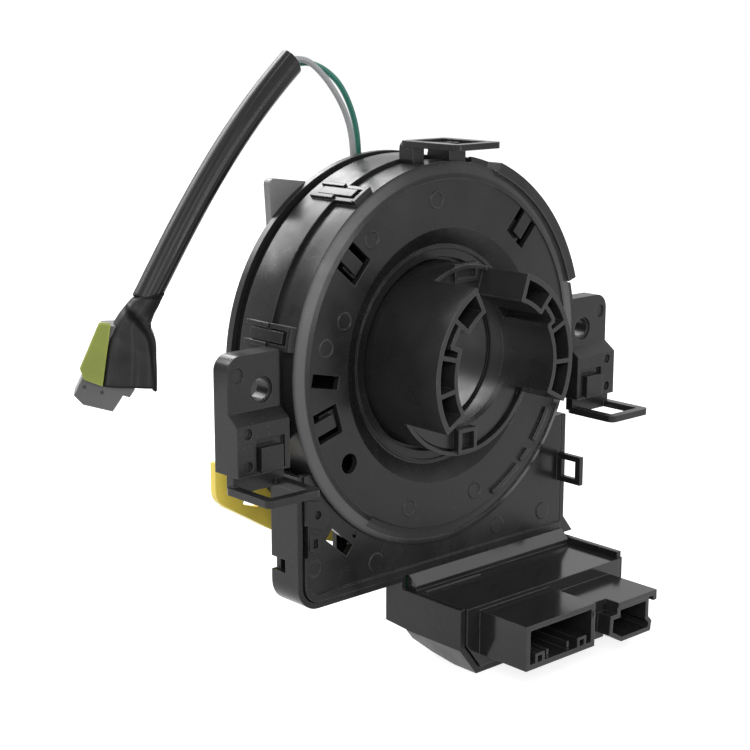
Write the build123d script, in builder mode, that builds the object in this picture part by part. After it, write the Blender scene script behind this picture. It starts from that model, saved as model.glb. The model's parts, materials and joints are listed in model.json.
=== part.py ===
from build123d import *
from math import atan2, cos, degrees, hypot, radians, sin, tan
import os

# Steering clock spring, seen from its column side.
# The turning axis is Y and the origin lies on it. -Y faces the steering column,
# +Y the steering wheel, +X is right and +Z up. All sizes are in millimetres.

os.makedirs("parts", exist_ok=True)

# Levels along the axis
face_y = -13.8              # front face of the column-side case
seam_y = -4.0               # where the two cases meet
plate_y = -12.0             # flat sensor face
ear_y = -10.4               # upper face of the screw ears
ear_low_y = -14.0           # lower, raised face of the screw ears
ear_back_y = -5.0
cable_room = 11.0           # depth of the ribbon cable's chamber past the seam
rim_gap = 3.0               # dark gap between the fixed wall and the turning rim
rim_t = 2.0
disc_t = 1.6

# Drum
cable_case_r = 51.6
front_r = cable_case_r - 1.0
rim_r = cable_case_r + 0.4
wall = 1.8
face_t = 1.8
floor_t = 1.4
band_r = front_r - 4.4      # inner edge of the bevelled band
band_drop = 1.3
band_lip = 0.4
dish_r = front_r - 16.8
dish_foot_r = dish_r - 4.6
dish_depth = 3.0

# Turning hub
sleeve_r = 24.7
case_bore_r = sleeve_r + 1.0
sleeve_wall = 1.4
sleeve_bore_r = 17.4
sleeve_inner_wall = 1.1
sleeve_front_y = -36.0
sleeve_gap_y = -20.4        # level of the sleeve in its two gaps
sleeve_back_y = 4.0
key_r = 20.6
key_out_r = sleeve_r + 0.7
drum_wall = 1.5
hub_tube_r = 19.0
hub_tube_wall = 1.4
hub_tube_y = -13.0
slide_fit = 0.1             # radial clearance of turning and seated rings
bearing_fit = 0.08

# Sensor gears
gear_module = 0.8
main_teeth = 76
teeth_a = 26
teeth_b = 24
gear_t = 3.6
gear_lift = 0.4             # gap between the gears and the floor behind them
backlash = 0.12
gear_angle_a = 250.0
gear_angle_b = 290.0
post_r = 1.6
post_fit = 0.08
magnet_r = 3.0
magnet_t = 1.5
magnet_proud = 0.1

# Sensor and connector housing
plate_left = -48.8
plate_right = 50.2
plate_top = -24.0
plate_bottom = -59.5
shell = 1.6
shell_back_y = -1.5
plate_t = 1.8
plate_fit = 0.3
plate_corner = 6.5
border_foot = 2.0
border_left = 1.2
border_rise = 0.6
box_left = -13.5
box_right = 50.4
box_bottom = -80.0
box_top = -61.4
box_back_y = -5.8
box_front_y = -34.0
front_t = 2.2
board_t = 1.2

# Sockets
socket_front_y = -51.0
socket_floor_y = -37.0
socket_wall = 1.4
small_wall = 1.2
big_left = -7.0
big_right = 19.2
big_top = -62.6
big_bottom = -74.5
small_left = 28.3
small_right = 41.4
small_top = -66.0
small_bottom = -76.2
bridge_y = -46.7
pin = 0.64
pin_pitch = 2.2
pin_tip_y = -46.5

# Ears and loops
ear_in_x = front_r + 2.0
ear_x = ear_in_x + 15.8
ear_corner = 4.0
ear_top = 8.5
ear_step = -5.2
ear_ledge = -7.8
ear_bottom = -20.2
ear_wall = 1.8
ear_face_t = 2.2
screw_x = ear_in_x + 5.6
screw_z = -0.6
screw_hole_r = 2.75
screw_boss_r = 5.0
bar = 2.5
loop_t = 1.8
loop_in_x = ear_in_x + 0.4
loop_x = ear_x + 0.8
loop_front_y = -26.8
loop_back_y = -9.5
loop_drop = 4.4

# Ribbon cable
cable_t = 0.25
cable_gap = 0.4
cable_turns = 8
lead_block_t = 1.5

# Airbag lead
lead_y = 17.0
wire_d = 1.6
wire_spread = 0.9           # each wire's distance from the lead's own plane
lead_d = 6.6
lead_exit_z = 48.6
plug_t = 7.6
tape_t = 0.8
plug_turn = 33.0            # the plug's flat side faces this far left of the axis

open_y = seam_y + cable_room
rim_front_y = open_y + rim_gap
disc_back_y = rim_front_y + rim_t
disc_front_y = disc_back_y - disc_t
drum_in_r = sleeve_r + slide_fit
drum_out_r = drum_in_r + drum_wall
gear_back_y = seam_y - gear_lift
gear_front_y = gear_back_y - gear_t
board_y = plate_y + plate_t
board_back_y = board_y + board_t


def at_y(level):
    """Drawing plane across the axis; its x is +X and its y is +Z."""
    return Plane.XZ.offset(-level)


def polar(radius, angle):
    """Point on a circle about the axis, by its angle from +X towards +Z."""
    return (radius * cos(radians(angle)), radius * sin(radians(angle)))


def sector(inner, outer, start, end, mode=Mode.ADD):
    """Ring sector in the sketch that is open."""
    with BuildLine() as outline:
        low = CenterArc((0, 0), inner, start, end - start)
        high = CenterArc((0, 0), outer, start, end - start)
        Line(low @ 0, high @ 0)
        Line(low @ 1, high @ 1)
    make_face(outline.edges(), mode=mode)


def block(x0, x1, y0, y1, z0, z1, mode=Mode.ADD):
    """Box between two corners, in the part that is open."""
    with Locations(((x0 + x1) / 2, (y0 + y1) / 2, (z0 + z1) / 2)):
        Box(x1 - x0, y1 - y0, z1 - z0, mode=mode)


def gear_points(teeth, turn, centre=(0, 0)):
    """Outline of a spur gear with one tooth at the angle turn."""
    pitch_r = gear_module * teeth / 2
    half = 90 / teeth - degrees(backlash / 2 / pitch_r)
    lean = degrees(tan(radians(20)) * gear_module / pitch_r)
    points = []
    for tooth in range(teeth):
        middle = turn + 360 * tooth / teeth
        for depth, side in ((-1.2, -1), (0.95, -1), (0.95, 1), (-1.2, 1)):
            radius = pitch_r + depth * gear_module
            angle = middle + side * (half - lean * depth)
            x, z = polar(radius, angle)
            points.append((centre[0] + x, centre[1] + z))
    return points


def route_radii(points):
    """As large an arc at each corner as its two runs allow."""
    runs = [Vector(b) - Vector(a) for a, b in zip(points, points[1:])]
    radii = []
    for before, after in zip(runs, runs[1:]):
        half_turn = radians(before.get_angle(after)) / 2
        radii.append(0.45 * min(before.length, after.length) / tan(half_turn))
    return radii


def lead_tube(points, diameter, name):
    """Round tube along straight runs with tangent arcs, in the part that is open."""
    radii = route_radii(points)
    with BuildLine() as route:
        FilletPolyline(*points, radius=radii)
    first = Vector(points[1]) - Vector(points[0])
    with BuildSketch(Plane(origin=points[0], z_dir=first)) as section:
        Circle(diameter / 2)
    sweep(section.sketch, path=route.wires()[0])
    length = route.wires()[0].length
    print(name, "length", round(length, 1), "least radius", round(min(radii), 1),
          "section times length", round(section.sketch.area * length, 1))
    return length


# Column-side case: drum wall, bevelled band, face and dish, turned about the axis
dish_y = face_y + dish_depth
with BuildPart() as front_case:
    with BuildSketch(Plane.XY):
        with BuildLine():
            Polyline(
                (front_r, seam_y),
                (front_r, face_y - band_lip + band_drop),
                (band_r, face_y - band_lip),
                (band_r, face_y),
                (dish_r, face_y),
                (dish_foot_r, dish_y),
                (case_bore_r, dish_y),
                (case_bore_r, dish_y + face_t),
                (dish_foot_r + 0.8, dish_y + face_t),
                (dish_r + 0.9, face_y + face_t),
                (front_r - wall, face_y + face_t),
                (front_r - wall, seam_y),
                close=True,
            )
        make_face()
    revolve(axis=Axis.Y)
    # Thin rings round the foot of the dish
    with BuildSketch(at_y(dish_y)):
        for ring_r in (case_bore_r, dish_foot_r - 1.2):
            Circle(ring_r + 0.6)
            Circle(ring_r, mode=Mode.SUBTRACT)
    extrude(amount=0.5)
    # Room for the sensor gears and the board in the drum wall
    block(-31.5, 31.5, board_y, seam_y, -front_r - 0.5, -36.0, mode=Mode.SUBTRACT)
    # Curved groove inside the band, and three lips on its inner edge
    with BuildSketch(at_y(face_y - band_lip)):
        sector(46.0, 49.0, 236, 336)
    extrude(amount=-band_lip - 0.9, mode=Mode.SUBTRACT)
    with BuildSketch(at_y(face_y)):
        for start, end in ((294, 309), (311, 316), (320, 333)):
            sector(43.6, 44.9, start, end)
    extrude(amount=0.7)
    # Guard along the upper right of the drum
    with BuildSketch(at_y(face_y - 0.2)):
        sector(front_r - 0.6, 53.0, 17, 68)
    extrude(amount=-7.6)
    # Windows in the face for the snap fingers of the case behind
    finger_angles = (139, 48, 196)
    finger_r = front_r - 8.6
    finger_w = 4.6
    window_size = 8.0
    finger_t = 2.0
    with BuildSketch(at_y(face_y)):
        for angle in finger_angles:
            with PolarLocations(finger_r, 1, start_angle=angle):
                Rectangle(window_size, window_size)
    extrude(amount=-face_t, mode=Mode.SUBTRACT)
    with BuildSketch(at_y(face_y)):
        for angle in finger_angles:
            with PolarLocations(finger_r + 0.9, 1, start_angle=angle):
                Rectangle(window_size - 1.4, 3.6)
    extrude(amount=-1.0)
    # Long slot at the left of the face, and the round hole below it
    with BuildSketch(at_y(face_y)):
        with Locations((-41.0, -0.8)):
            Rectangle(8.6, 3.4, rotation=-12)
        with Locations((-33.3, -22.9)):
            Circle(2.6)
    extrude(amount=-face_t, mode=Mode.SUBTRACT)
    # Shallow ejector rings, as moulded
    with BuildSketch(at_y(face_y)):
        for spot in ((-3.6, 41.1), (-34.7, 13.5), (-40.6, 7.5), (-25.8, 32.9),
                     (11.6, -38.7), (-12.6, -38.7)):
            with Locations(spot):
                Circle(2.3)
                Circle(1.9, mode=Mode.SUBTRACT)
    extrude(amount=0.25)
    # Catches for the side latches
    latch_angles = (168, 122, 75, 12)
    with BuildSketch(at_y(face_y + 1.4)):
        for angle in latch_angles:
            sector(front_r - 0.5, front_r + 1.3, angle - 3.4, angle - 2.0)
            sector(front_r - 0.5, front_r + 1.3, angle + 2.0, angle + 3.4)
    extrude(amount=-(seam_y - face_y - 1.6))
    with BuildSketch(at_y(face_y + 1.4)):
        for angle in latch_angles:
            sector(front_r - 0.5, front_r + 1.6, angle - 3.4, angle + 3.4)
    extrude(amount=-1.2)
front_case.part.label = "front_case"
export_step(front_case.part, "parts/front_case.step")

# Flat sensor face below the drum, cut round it, in the same moulding
inner_left = plate_left + shell + plate_fit
inner_right = plate_right - shell - plate_fit
inner_bottom = plate_bottom + shell + plate_fit
inner_corner = plate_corner - shell - plate_fit


def plate_field(left, foot, corner, mode=Mode.ADD):
    """Field of the flat face with its lower left corner rounded, in the sketch that is open."""
    with BuildLine() as outline:
        bend = FilletPolyline((left, plate_top), (left, foot), (inner_right, foot), radius=corner)
        Polyline(bend @ 1, (inner_right, plate_top), bend @ 0)
    make_face(outline.edges(), mode=mode)


with BuildPart() as flat_face:
    with BuildSketch(at_y(plate_y)):
        plate_field(inner_left, inner_bottom, inner_corner)
        Circle(front_r, mode=Mode.SUBTRACT)
    extrude(amount=-plate_t)
    # Raised border down its left side and along its foot
    with BuildSketch(at_y(plate_y)):
        plate_field(inner_left, inner_bottom, inner_corner)
        plate_field(inner_left + border_left, inner_bottom + border_foot,
                    inner_corner - border_left, mode=Mode.SUBTRACT)
        Circle(front_r, mode=Mode.SUBTRACT)
    extrude(amount=border_rise)
    # Raised field at its left, and the small square frame under it
    with BuildSketch(at_y(plate_y)):
        with BuildLine():
            Polyline((-46.6, -30.2), (-42.0, -31.4), (-38.2, -36.0), (-40.2, -39.2),
                     (-46.6, -36.6), close=True)
        make_face()
        with BuildLine():
            Polyline((-45.6, -39.0), (-41.8, -40.4), (-41.8, -44.8), (-45.6, -43.4), close=True)
        make_face()
        with Locations((-43.7, -41.9)):
            Rectangle(1.6, 2.4, mode=Mode.SUBTRACT)
        with Locations((-42.9, -34.6)):
            Circle(1.1, mode=Mode.SUBTRACT)
    extrude(amount=0.9)
    # Low round pads and a moulded ring
    with BuildSketch(at_y(plate_y)):
        with Locations((-22.8, -51.7), (22.5, -51.4), (41.0, -50.9)):
            Circle(2.4)
        with Locations((-43.6, -48.6)):
            Circle(2.3)
            Circle(1.9, mode=Mode.SUBTRACT)
    extrude(amount=0.3)
    # Slanted slot, pin hole, and the notch in the left edge
    with BuildSketch(at_y(plate_y)):
        with Locations((-35.2, -43.6)):
            Rectangle(9.0, 3.4, rotation=-40)
        with Locations((-30.0, -42.8)):
            Circle(0.8)
    extrude(amount=-plate_t, mode=Mode.SUBTRACT)
    block(inner_left, inner_left + 1.0, plate_y - border_rise, board_y, -45.2, -36.8,
          mode=Mode.SUBTRACT)
    # Standing loop at the right edge
    block(inner_right - 1.4, inner_right, -20.6, plate_y + plate_t, -43.0, -34.8)
    block(inner_right - 1.4, inner_right, -18.8, plate_y - 1.8, -41.4, -36.4, mode=Mode.SUBTRACT)
flat_face.part.label = "flat_face"
export_step(flat_face.part, "parts/flat_face.step")

# Lying loop at the top of the drum
top_z = front_r + 5.2
top_left = -7.5
top_right = 8.5
top_front_y = -25.0
top_t = 1.6
with BuildPart() as top_loop:
    with BuildSketch(Plane.XY.offset(top_z - top_t)):
        with Locations(((top_left + top_right) / 2, (top_front_y + seam_y) / 2)):
            RectangleRounded(top_right - top_left, seam_y - top_front_y, 1.6)
            Rectangle(top_right - top_left - 2 * bar, seam_y - top_front_y - 2 * bar, mode=Mode.SUBTRACT)
    extrude(amount=top_t)
    # Foot on the drum, and the round-ended knob under its left corner
    block(2.6, top_right, -12.0, seam_y, front_r - 2.2, top_z - top_t / 2)
    with BuildSketch(at_y(seam_y)):
        with Locations((top_left + 2.0, top_z - 3.3)):
            SlotOverall(6.6, 4.0, rotation=90)
    extrude(amount=5.0)
    with BuildSketch(at_y(seam_y)):
        Circle(front_r)
    extrude(amount=12.0, mode=Mode.SUBTRACT)
top_loop.part.label = "top_loop"
export_step(top_loop.part, "parts/top_loop.step")

# Screw ears beside the drum, each with its lying loop
loop_low = ear_bottom - loop_drop
loop_top = loop_low + loop_t
for side, name in ((-1, "left_ear"), (1, "right_ear")):
    with BuildPart() as screw_ear:
        with BuildSketch(Plane.YZ.offset(min(side * ear_in_x, side * ear_x))):
            with BuildLine():
                Polyline(
                    (ear_back_y, ear_top),
                    (ear_y, ear_top),
                    (ear_y, ear_step),
                    (ear_low_y, ear_ledge),
                    (ear_low_y, ear_bottom),
                    (ear_back_y, ear_bottom),
                    close=True,
                )
            make_face()
        extrude(amount=ear_x - ear_in_x)
        top_edges = screw_ear.edges().filter_by(Axis.Y).group_by(Axis.Z)[-1]
        fillet(top_edges.sort_by(lambda edge: side * edge.center().X)[-1], radius=ear_corner)
        # Web to the drum, cut to its outside
        block(min(side * (front_r - 2.6), side * (ear_in_x + 0.5)),
              max(side * (front_r - 2.6), side * (ear_in_x + 0.5)),
              ear_back_y - 3.4, ear_back_y, ear_bottom + 5.0, ear_top - 2.0)
        with BuildSketch(at_y(ear_back_y)):
            Circle(front_r)
        extrude(amount=5.0, mode=Mode.SUBTRACT)
        # Hollow back
        low_x = min(side * (ear_in_x + ear_wall), side * (ear_x - ear_wall))
        high_x = max(side * (ear_in_x + ear_wall), side * (ear_x - ear_wall))
        block(low_x, high_x, ear_y + ear_face_t, ear_back_y, ear_step, ear_top - ear_corner,
              mode=Mode.SUBTRACT)
        block(low_x, high_x, ear_low_y + ear_face_t, ear_back_y, ear_bottom + ear_wall,
              ear_ledge - ear_wall, mode=Mode.SUBTRACT)
        # Screw boss, hole and the flat ring round it
        with BuildSketch(at_y(ear_y)):
            with Locations((side * screw_x, screw_z)):
                Circle(screw_boss_r)
        extrude(amount=ear_y - ear_back_y)
        with BuildSketch(at_y(ear_y)):
            with Locations((side * screw_x, screw_z)):
                Circle(screw_hole_r)
        extrude(amount=ear_y - ear_back_y, mode=Mode.SUBTRACT)
        with BuildSketch(at_y(ear_y)):
            with Locations((side * screw_x, screw_z)):
                Circle(screw_hole_r + 0.55)
        extrude(amount=-0.8, mode=Mode.SUBTRACT)
        # Square stud in a shallow recess, and small round marks
        with BuildSketch(at_y(ear_low_y)):
            with Locations((side * (ear_in_x + 5.8), -15.6)):
                Rectangle(8.6, 8.0)
        extrude(amount=-0.9, mode=Mode.SUBTRACT)
        with BuildSketch(at_y(ear_low_y + 0.9)):
            with Locations((side * (ear_in_x + 6.2), -16.6)):
                Rectangle(6.6, 6.2)
        extrude(amount=2.1)
        with BuildSketch(at_y(ear_y)):
            with Locations((side * (ear_x - 2.9), 3.7)):
                Circle(1.9)
        extrude(amount=-0.5, mode=Mode.SUBTRACT)
        with BuildSketch(at_y(ear_low_y)):
            with Locations((side * (ear_x - 3.2), -9.8), (side * (ear_x - 3.2), -17.8)):
                Circle(1.3)
        extrude(amount=-0.8, mode=Mode.SUBTRACT)
        # Lying loop, and the wall that carries it
        with BuildSketch(Plane.XY.offset(loop_low)):
            with Locations((side * (loop_in_x + loop_x) / 2, (loop_front_y + loop_back_y) / 2)):
                RectangleRounded(loop_x - loop_in_x, loop_back_y - loop_front_y, 1.8)
                Rectangle(loop_x - loop_in_x - 2 * bar, loop_back_y - loop_front_y - 2 * bar,
                          mode=Mode.SUBTRACT)
        extrude(amount=loop_t)
        block(min(side * loop_in_x, side * ear_x), max(side * loop_in_x, side * ear_x),
              loop_back_y - bar, loop_back_y, loop_low + loop_t / 2, ear_bottom + bar)
    screw_ear.part.label = name
    export_step(screw_ear.part, "parts/" + name + ".step")

# Wheel-side case: outer wall, floor behind the sensor gears, gear posts, fingers, latches
centre_a = polar(gear_module * (main_teeth + teeth_a) / 2, gear_angle_a)
centre_b = polar(gear_module * (main_teeth + teeth_b) / 2, gear_angle_b)
with BuildPart() as cable_case:
    with BuildSketch(Plane.XY):
        with BuildLine():
            Polyline(
                (drum_out_r + bearing_fit, seam_y),
                (cable_case_r, seam_y),
                (cable_case_r, open_y),
                (cable_case_r - wall, open_y),
                (cable_case_r - wall, seam_y + floor_t),
                (drum_out_r + bearing_fit, seam_y + floor_t),
                close=True,
            )
        make_face()
    revolve(axis=Axis.Y)
    with BuildSketch(at_y(seam_y)):
        with Locations(centre_a, centre_b):
            Circle(post_r)
    extrude(amount=gear_lift + gear_t - magnet_t - 0.5)
    block(-2.6, 2.6, seam_y, seam_y + floor_t, -49.5, -47.3, mode=Mode.SUBTRACT)
    for angle in finger_angles:
        with BuildSketch(at_y(seam_y)):
            with PolarLocations(finger_r, 1, start_angle=angle):
                Rectangle(finger_t, finger_w)
        extrude(amount=seam_y - face_y - 1.4)
        with BuildSketch(at_y(face_y + 2.2)):
            with PolarLocations(finger_r - 1.4, 1, start_angle=angle):
                Rectangle(4.8, finger_w)
        extrude(amount=0.8)
    for angle in latch_angles:
        with BuildSketch(at_y(seam_y + 8.6)):
            sector(cable_case_r - 0.4, cable_case_r + 0.9, angle - 3.2, angle - 2.0)
            sector(cable_case_r - 0.4, cable_case_r + 0.9, angle + 2.0, angle + 3.2)
        extrude(amount=8.4)
        # Tongue of the latch, over the seam and into its catch
        with BuildSketch(at_y(seam_y + 7.0)):
            sector(cable_case_r - 0.4, cable_case_r + 0.6, angle - 1.5, angle + 1.5)
        extrude(amount=7.0)
        with BuildSketch(at_y(seam_y)):
            sector(front_r + 0.2, cable_case_r + 0.6, angle - 1.5, angle + 1.5)
        extrude(amount=seam_y - face_y - 4.2)
cable_case.part.label = "cable_case"
export_step(cable_case.part, "parts/cable_case.step")

# Back shell of the sensor and connector housing
ring_gap = 0.3
seat_gap = 0.25
with BuildPart() as rear_cover:
    with BuildSketch(at_y(plate_y)) as plate_outline:
        with BuildLine():
            Polyline(
                (plate_left, plate_top),
                (plate_left, plate_bottom),
                (plate_right + 4.0, plate_bottom),
                (plate_right, plate_bottom + 5.0),
                (plate_right, plate_top),
                close=True,
            )
        make_face()
        fillet(plate_outline.vertices().group_by(Axis.X)[0].sort_by(Axis.Y)[0], radius=plate_corner)
        Circle(cable_case_r + ring_gap, mode=Mode.SUBTRACT)
    extrude(amount=plate_y - shell_back_y)
    with BuildSketch(at_y(plate_y)):
        with BuildLine():
            bend = FilletPolyline(
                (plate_left + shell, plate_top + 1.0),
                (plate_left + shell, plate_bottom + shell),
                (plate_right - shell, plate_bottom + shell),
                radius=plate_corner - shell,
            )
            Polyline(bend @ 1, (plate_right - shell, plate_top + 1.0), bend @ 0)
        make_face()
    extrude(amount=-(shell_back_y - shell - plate_y), mode=Mode.SUBTRACT)
    # Deep connector part below it, made from its side profile and hollowed the same way
    with BuildSketch(Plane.YZ.offset(box_left)):
        with BuildLine():
            Polyline(
                (box_back_y, plate_bottom + shell),
                (box_back_y, -71.6),
                (-13.8, -72.2),
                (-13.8, -75.2),
                (-19.0, box_bottom + 2.0),
                (-26.0, box_bottom),
                (box_front_y, box_bottom),
                (box_front_y, box_top),
                (plate_y, box_top),
                (plate_y, plate_bottom + shell),
                close=True,
            )
        make_face()
    extrude(amount=box_right - box_left)
    # Chamfer along its lower left
    with BuildSketch(at_y(box_front_y)):
        with BuildLine():
            Polyline((box_left - 1, -72.3), (box_left, -72.3), (box_left + 6.0, box_bottom),
                     (box_left + 6.0, box_bottom - 1), (box_left - 1, box_bottom - 1), close=True)
        make_face()
    extrude(amount=box_front_y - box_back_y - 1, mode=Mode.SUBTRACT)
    with BuildSketch(Plane.YZ.offset(box_left + shell)):
        with BuildLine():
            Polyline(
                (box_back_y - shell, plate_bottom + shell),
                (box_back_y - shell, -71.6 + shell),
                (-13.8 - shell, -72.2 + shell),
                (-13.8 - shell, -75.2 + shell),
                (-19.0 - shell, box_bottom + 2.0 + shell),
                (-26.0, box_bottom + shell),
                (box_front_y, box_bottom + shell),
                (box_front_y, plate_bottom + shell),
                close=True,
            )
        make_face()
    hollow = extrude(amount=box_right - box_left - 2 * shell, mode=Mode.PRIVATE)
    with BuildSketch(at_y(box_front_y)):
        with BuildLine():
            Polyline((box_left - 1, -72.3 + shell / 2), (box_left + shell, -72.3 + shell / 2),
                     (box_left + 6.0 + shell / 2, box_bottom + shell),
                     (box_left + 6.0, box_bottom - 1), (box_left - 1, box_bottom - 1), close=True)
        make_face()
    corner = extrude(amount=box_front_y - box_back_y - 1, mode=Mode.PRIVATE)
    add(hollow - corner, mode=Mode.SUBTRACT)
    # Raised end of the right wall
    block(box_right - shell, box_right, box_front_y + 0.5, plate_y, box_top, box_top + 1.6)
    # Posts that carry the flat face and the board
    with BuildSketch(at_y(board_y)):
        with Locations((-44.0, -54.0), (44.0, -54.0), (-44.0, -31.0), (45.0, -30.0)):
            Circle(1.8)
    extrude(amount=-(shell_back_y - shell - board_y))
    with BuildSketch(at_y(board_back_y)):
        with Locations((-28.0, -54.5), (28.0, -54.5)):
            Circle(1.8)
    extrude(amount=-(shell_back_y - shell - board_back_y))
    # Window behind the slanted slot, and the notch in the left wall
    block(-39.0, -28.5, shell_back_y - shell, shell_back_y, -50.0, -41.0, mode=Mode.SUBTRACT)
    block(plate_left, plate_left + shell, -7.0, shell_back_y, -50.0, -46.5, mode=Mode.SUBTRACT)
rear_cover.part.label = "rear_cover"
export_step(rear_cover.part, "parts/rear_cover.step")

# Connector moulding: tray over the box, inset front plate, large and small sockets
tray_left = box_left + shell + seat_gap
tray_right = box_right - shell - seat_gap
with BuildPart() as socket_block:
    # Tray and sloping ledge against the flat face, as one side profile
    with BuildSketch(Plane.YZ.offset(tray_left)):
        with BuildLine():
            Polyline(
                (plate_y - seat_gap, plate_bottom + shell + plate_fit),
                (plate_y - 0.9, plate_bottom + shell + plate_fit),
                (-15.6, box_top + 1.2),
                (-15.6, box_top),
                (box_front_y - 0.6, box_top),
                (box_front_y - 0.6, box_top - front_t),
                (plate_y - seat_gap, box_top - front_t),
                close=True,
            )
        make_face()
    extrude(amount=tray_right - tray_left)
    # Front plate with its chamfered corner
    with BuildSketch(at_y(box_front_y - 0.6)):
        with BuildLine():
            Polyline(
                (tray_left, box_top),
                (tray_left, -72.3 + shell / 2 + seat_gap),
                (box_left + 6.0 + shell / 2 + seat_gap, box_bottom + shell + seat_gap),
                (tray_right, box_bottom + shell + seat_gap),
                (tray_right, box_top),
                close=True,
            )
        make_face()
    extrude(amount=-front_t)
    # Sockets
    with BuildSketch(at_y(socket_floor_y)):
        with Locations(((big_left + big_right) / 2, (big_top + big_bottom) / 2)):
            Rectangle(big_right - big_left, big_top - big_bottom)
            Rectangle(big_right - big_left - 2 * socket_wall,
                      big_top - big_bottom - 2 * socket_wall, mode=Mode.SUBTRACT)
    extrude(amount=socket_floor_y - socket_front_y)
    # The small one is stepped out at its lower left and notched at its right
    small_outline = (
        (small_left, small_top), (small_left, small_top - 2.0), (small_left - 2.7, small_top - 2.0),
        (small_left - 3.1, small_bottom + 2.8), (small_left + 1.9, small_bottom),
        (small_right + 1.0, small_bottom), (small_right + 1.5, small_bottom + 2.8),
        (small_right, small_bottom + 4.3), (small_right, small_top),
    )
    with BuildSketch(at_y(socket_floor_y)):
        Polygon(*small_outline, align=None)
    extrude(amount=socket_floor_y - socket_front_y)
    with BuildSketch(at_y(socket_floor_y)):
        Polygon(*small_outline, align=None)
        offset(amount=-small_wall, kind=Kind.INTERSECTION)
    extrude(amount=socket_floor_y - socket_front_y, mode=Mode.SUBTRACT)
    block(big_left, big_right, socket_floor_y, box_front_y, big_bottom, big_top)
    block(small_left, small_right, socket_floor_y, box_front_y, small_bottom, small_top)
    # Shelf with its hooked end over the small socket, and the bridge between the two
    block(big_right - 1.0, small_right + 2.8, socket_front_y - 0.4, box_front_y,
          small_top - 0.2, small_top + 1.2)
    block(big_right - 0.4, small_left, socket_front_y - 0.4, bridge_y,
          small_top - 0.3, small_top + 1.3, mode=Mode.SUBTRACT)
    block(small_right + 1.4, small_right + 2.8, socket_front_y - 0.4, box_front_y,
          small_top - 1.6, small_top)
    block(big_right - 0.2, small_left - 0.4, bridge_y, box_front_y, small_bottom + 0.8, small_top)
    # Low step on the tray
    block(-10.4, 10.1, -18.0, -17.3, box_top - 0.4, box_top + 0.35)
    # Key channels and ribs on the floor of the large socket
    for key_x in (-3.6, 12.4):
        block(key_x, key_x + 3.4, socket_front_y, socket_floor_y, big_bottom, big_bottom + 3.9)
        block(key_x + 0.8, key_x + 2.6, socket_front_y, socket_floor_y,
              big_bottom + socket_wall, big_bottom + 3.2, mode=Mode.SUBTRACT)
    for rib_x in (1.6, 9.4):
        block(rib_x, rib_x + 0.8, socket_front_y + 1, socket_floor_y, big_bottom, big_bottom + 3.5)
    # Holes for the terminals
    big_pins = [(-3.6 + pin_pitch * n, big_top - socket_wall - 1.9) for n in range(10)]
    small_pins = [(31.3 + 2.6 * n, small_top - 2.9) for n in range(4)]
    with BuildSketch(at_y(socket_floor_y)):
        with Locations(big_pins + small_pins):
            Rectangle(pin + 0.06, pin + 0.06)
    extrude(amount=-(box_front_y + front_t - socket_floor_y), mode=Mode.SUBTRACT)
socket_block.part.label = "socket_block"
export_step(socket_block.part, "parts/socket_block.step")

# Terminal rows, each moulded into its own bar behind the front plate
bar_y = box_front_y - 0.6 + front_t
with BuildPart() as large_socket_pins:
    with BuildSketch(at_y(board_y)):
        with Locations(big_pins):
            Rectangle(pin, pin)
    extrude(amount=board_y - pin_tip_y)
    block(big_pins[0][0] - 1.4, big_pins[-1][0] + 1.4, bar_y, bar_y + 2.4,
          big_pins[0][1] - 1.5, big_pins[0][1] + 1.5)
large_socket_pins.part.label = "large_socket_pins"
export_step(large_socket_pins.part, "parts/large_socket_pins.step")

with BuildPart() as small_socket_pins:
    with BuildSketch(at_y(board_y)):
        with Locations(small_pins):
            Rectangle(pin, pin)
    extrude(amount=board_y - pin_tip_y)
    block(small_pins[0][0] - 1.4, small_pins[-1][0] + 1.4, bar_y, bar_y + 2.4,
          small_pins[0][1] - 1.5, small_pins[0][1] + 1.5)
small_socket_pins.part.label = "small_socket_pins"
export_step(small_socket_pins.part, "parts/small_socket_pins.step")

# Sensor board behind the flat face, with a tongue down to the terminals
board_tongue = small_pins[0][1] - 0.9
with BuildPart() as circuit_board:
    with BuildSketch(at_y(board_y)):
        with BuildLine():
            Polyline((-30.0, -44.0), (-24.0, -36.6), (24.0, -36.6), (30.0, -44.0),
                     (30.0, -57.4), (47.4, -57.4), (47.4, board_tongue), (-10.8, board_tongue),
                     (-10.8, -57.4), (-30.0, -57.4), close=True)
        make_face()
    extrude(amount=-board_t)
circuit_board.part.label = "circuit_board"
export_step(circuit_board.part, "parts/circuit_board.step")

# Field sensors over the magnets and the processor between them, on one solder film
with BuildPart() as board_chips:
    with BuildSketch(at_y(board_y)):
        with Locations(centre_a, centre_b):
            Rectangle(5.0, 4.0)
        with Locations((0, -43.6)):
            Rectangle(6.6, 6.0)
    extrude(amount=1.1)
board_chips.part.label = "board_chips"
export_step(board_chips.part, "parts/board_chips.step")

# Wound ribbon cable, as a spiral of half turns whose centre steps from side to side
cable_in_r = drum_out_r + lead_block_t + cable_gap
cable_out_r = cable_case_r - wall - 3.0
cable_step = (cable_out_r - cable_in_r) / (2 * cable_turns)
cable_front_y = seam_y + floor_t + cable_gap
cable_back_y = open_y + 1.4
with BuildPart() as flat_cable:
    with BuildSketch(at_y(cable_front_y)):
        with BuildLine():
            inner = []
            outer = []
            for turn in range(2 * cable_turns):
                radius = cable_in_r + cable_step * (turn + 0.5)
                side = cable_step / 2 if turn % 2 else -cable_step / 2
                start = 180 if turn % 2 else 0
                inner.append(CenterArc((side, 0), radius, start, 180))
                outer.append(CenterArc((side, 0), radius + cable_t, start, 180))
            Line(inner[0] @ 0, outer[0] @ 0)
            Line(inner[-1] @ 1, outer[-1] @ 1)
        make_face()
    extrude(amount=cable_front_y - cable_back_y)
flat_cable.part.label = "flat_cable"
export_step(flat_cable.part, "parts/flat_cable.step")

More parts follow.
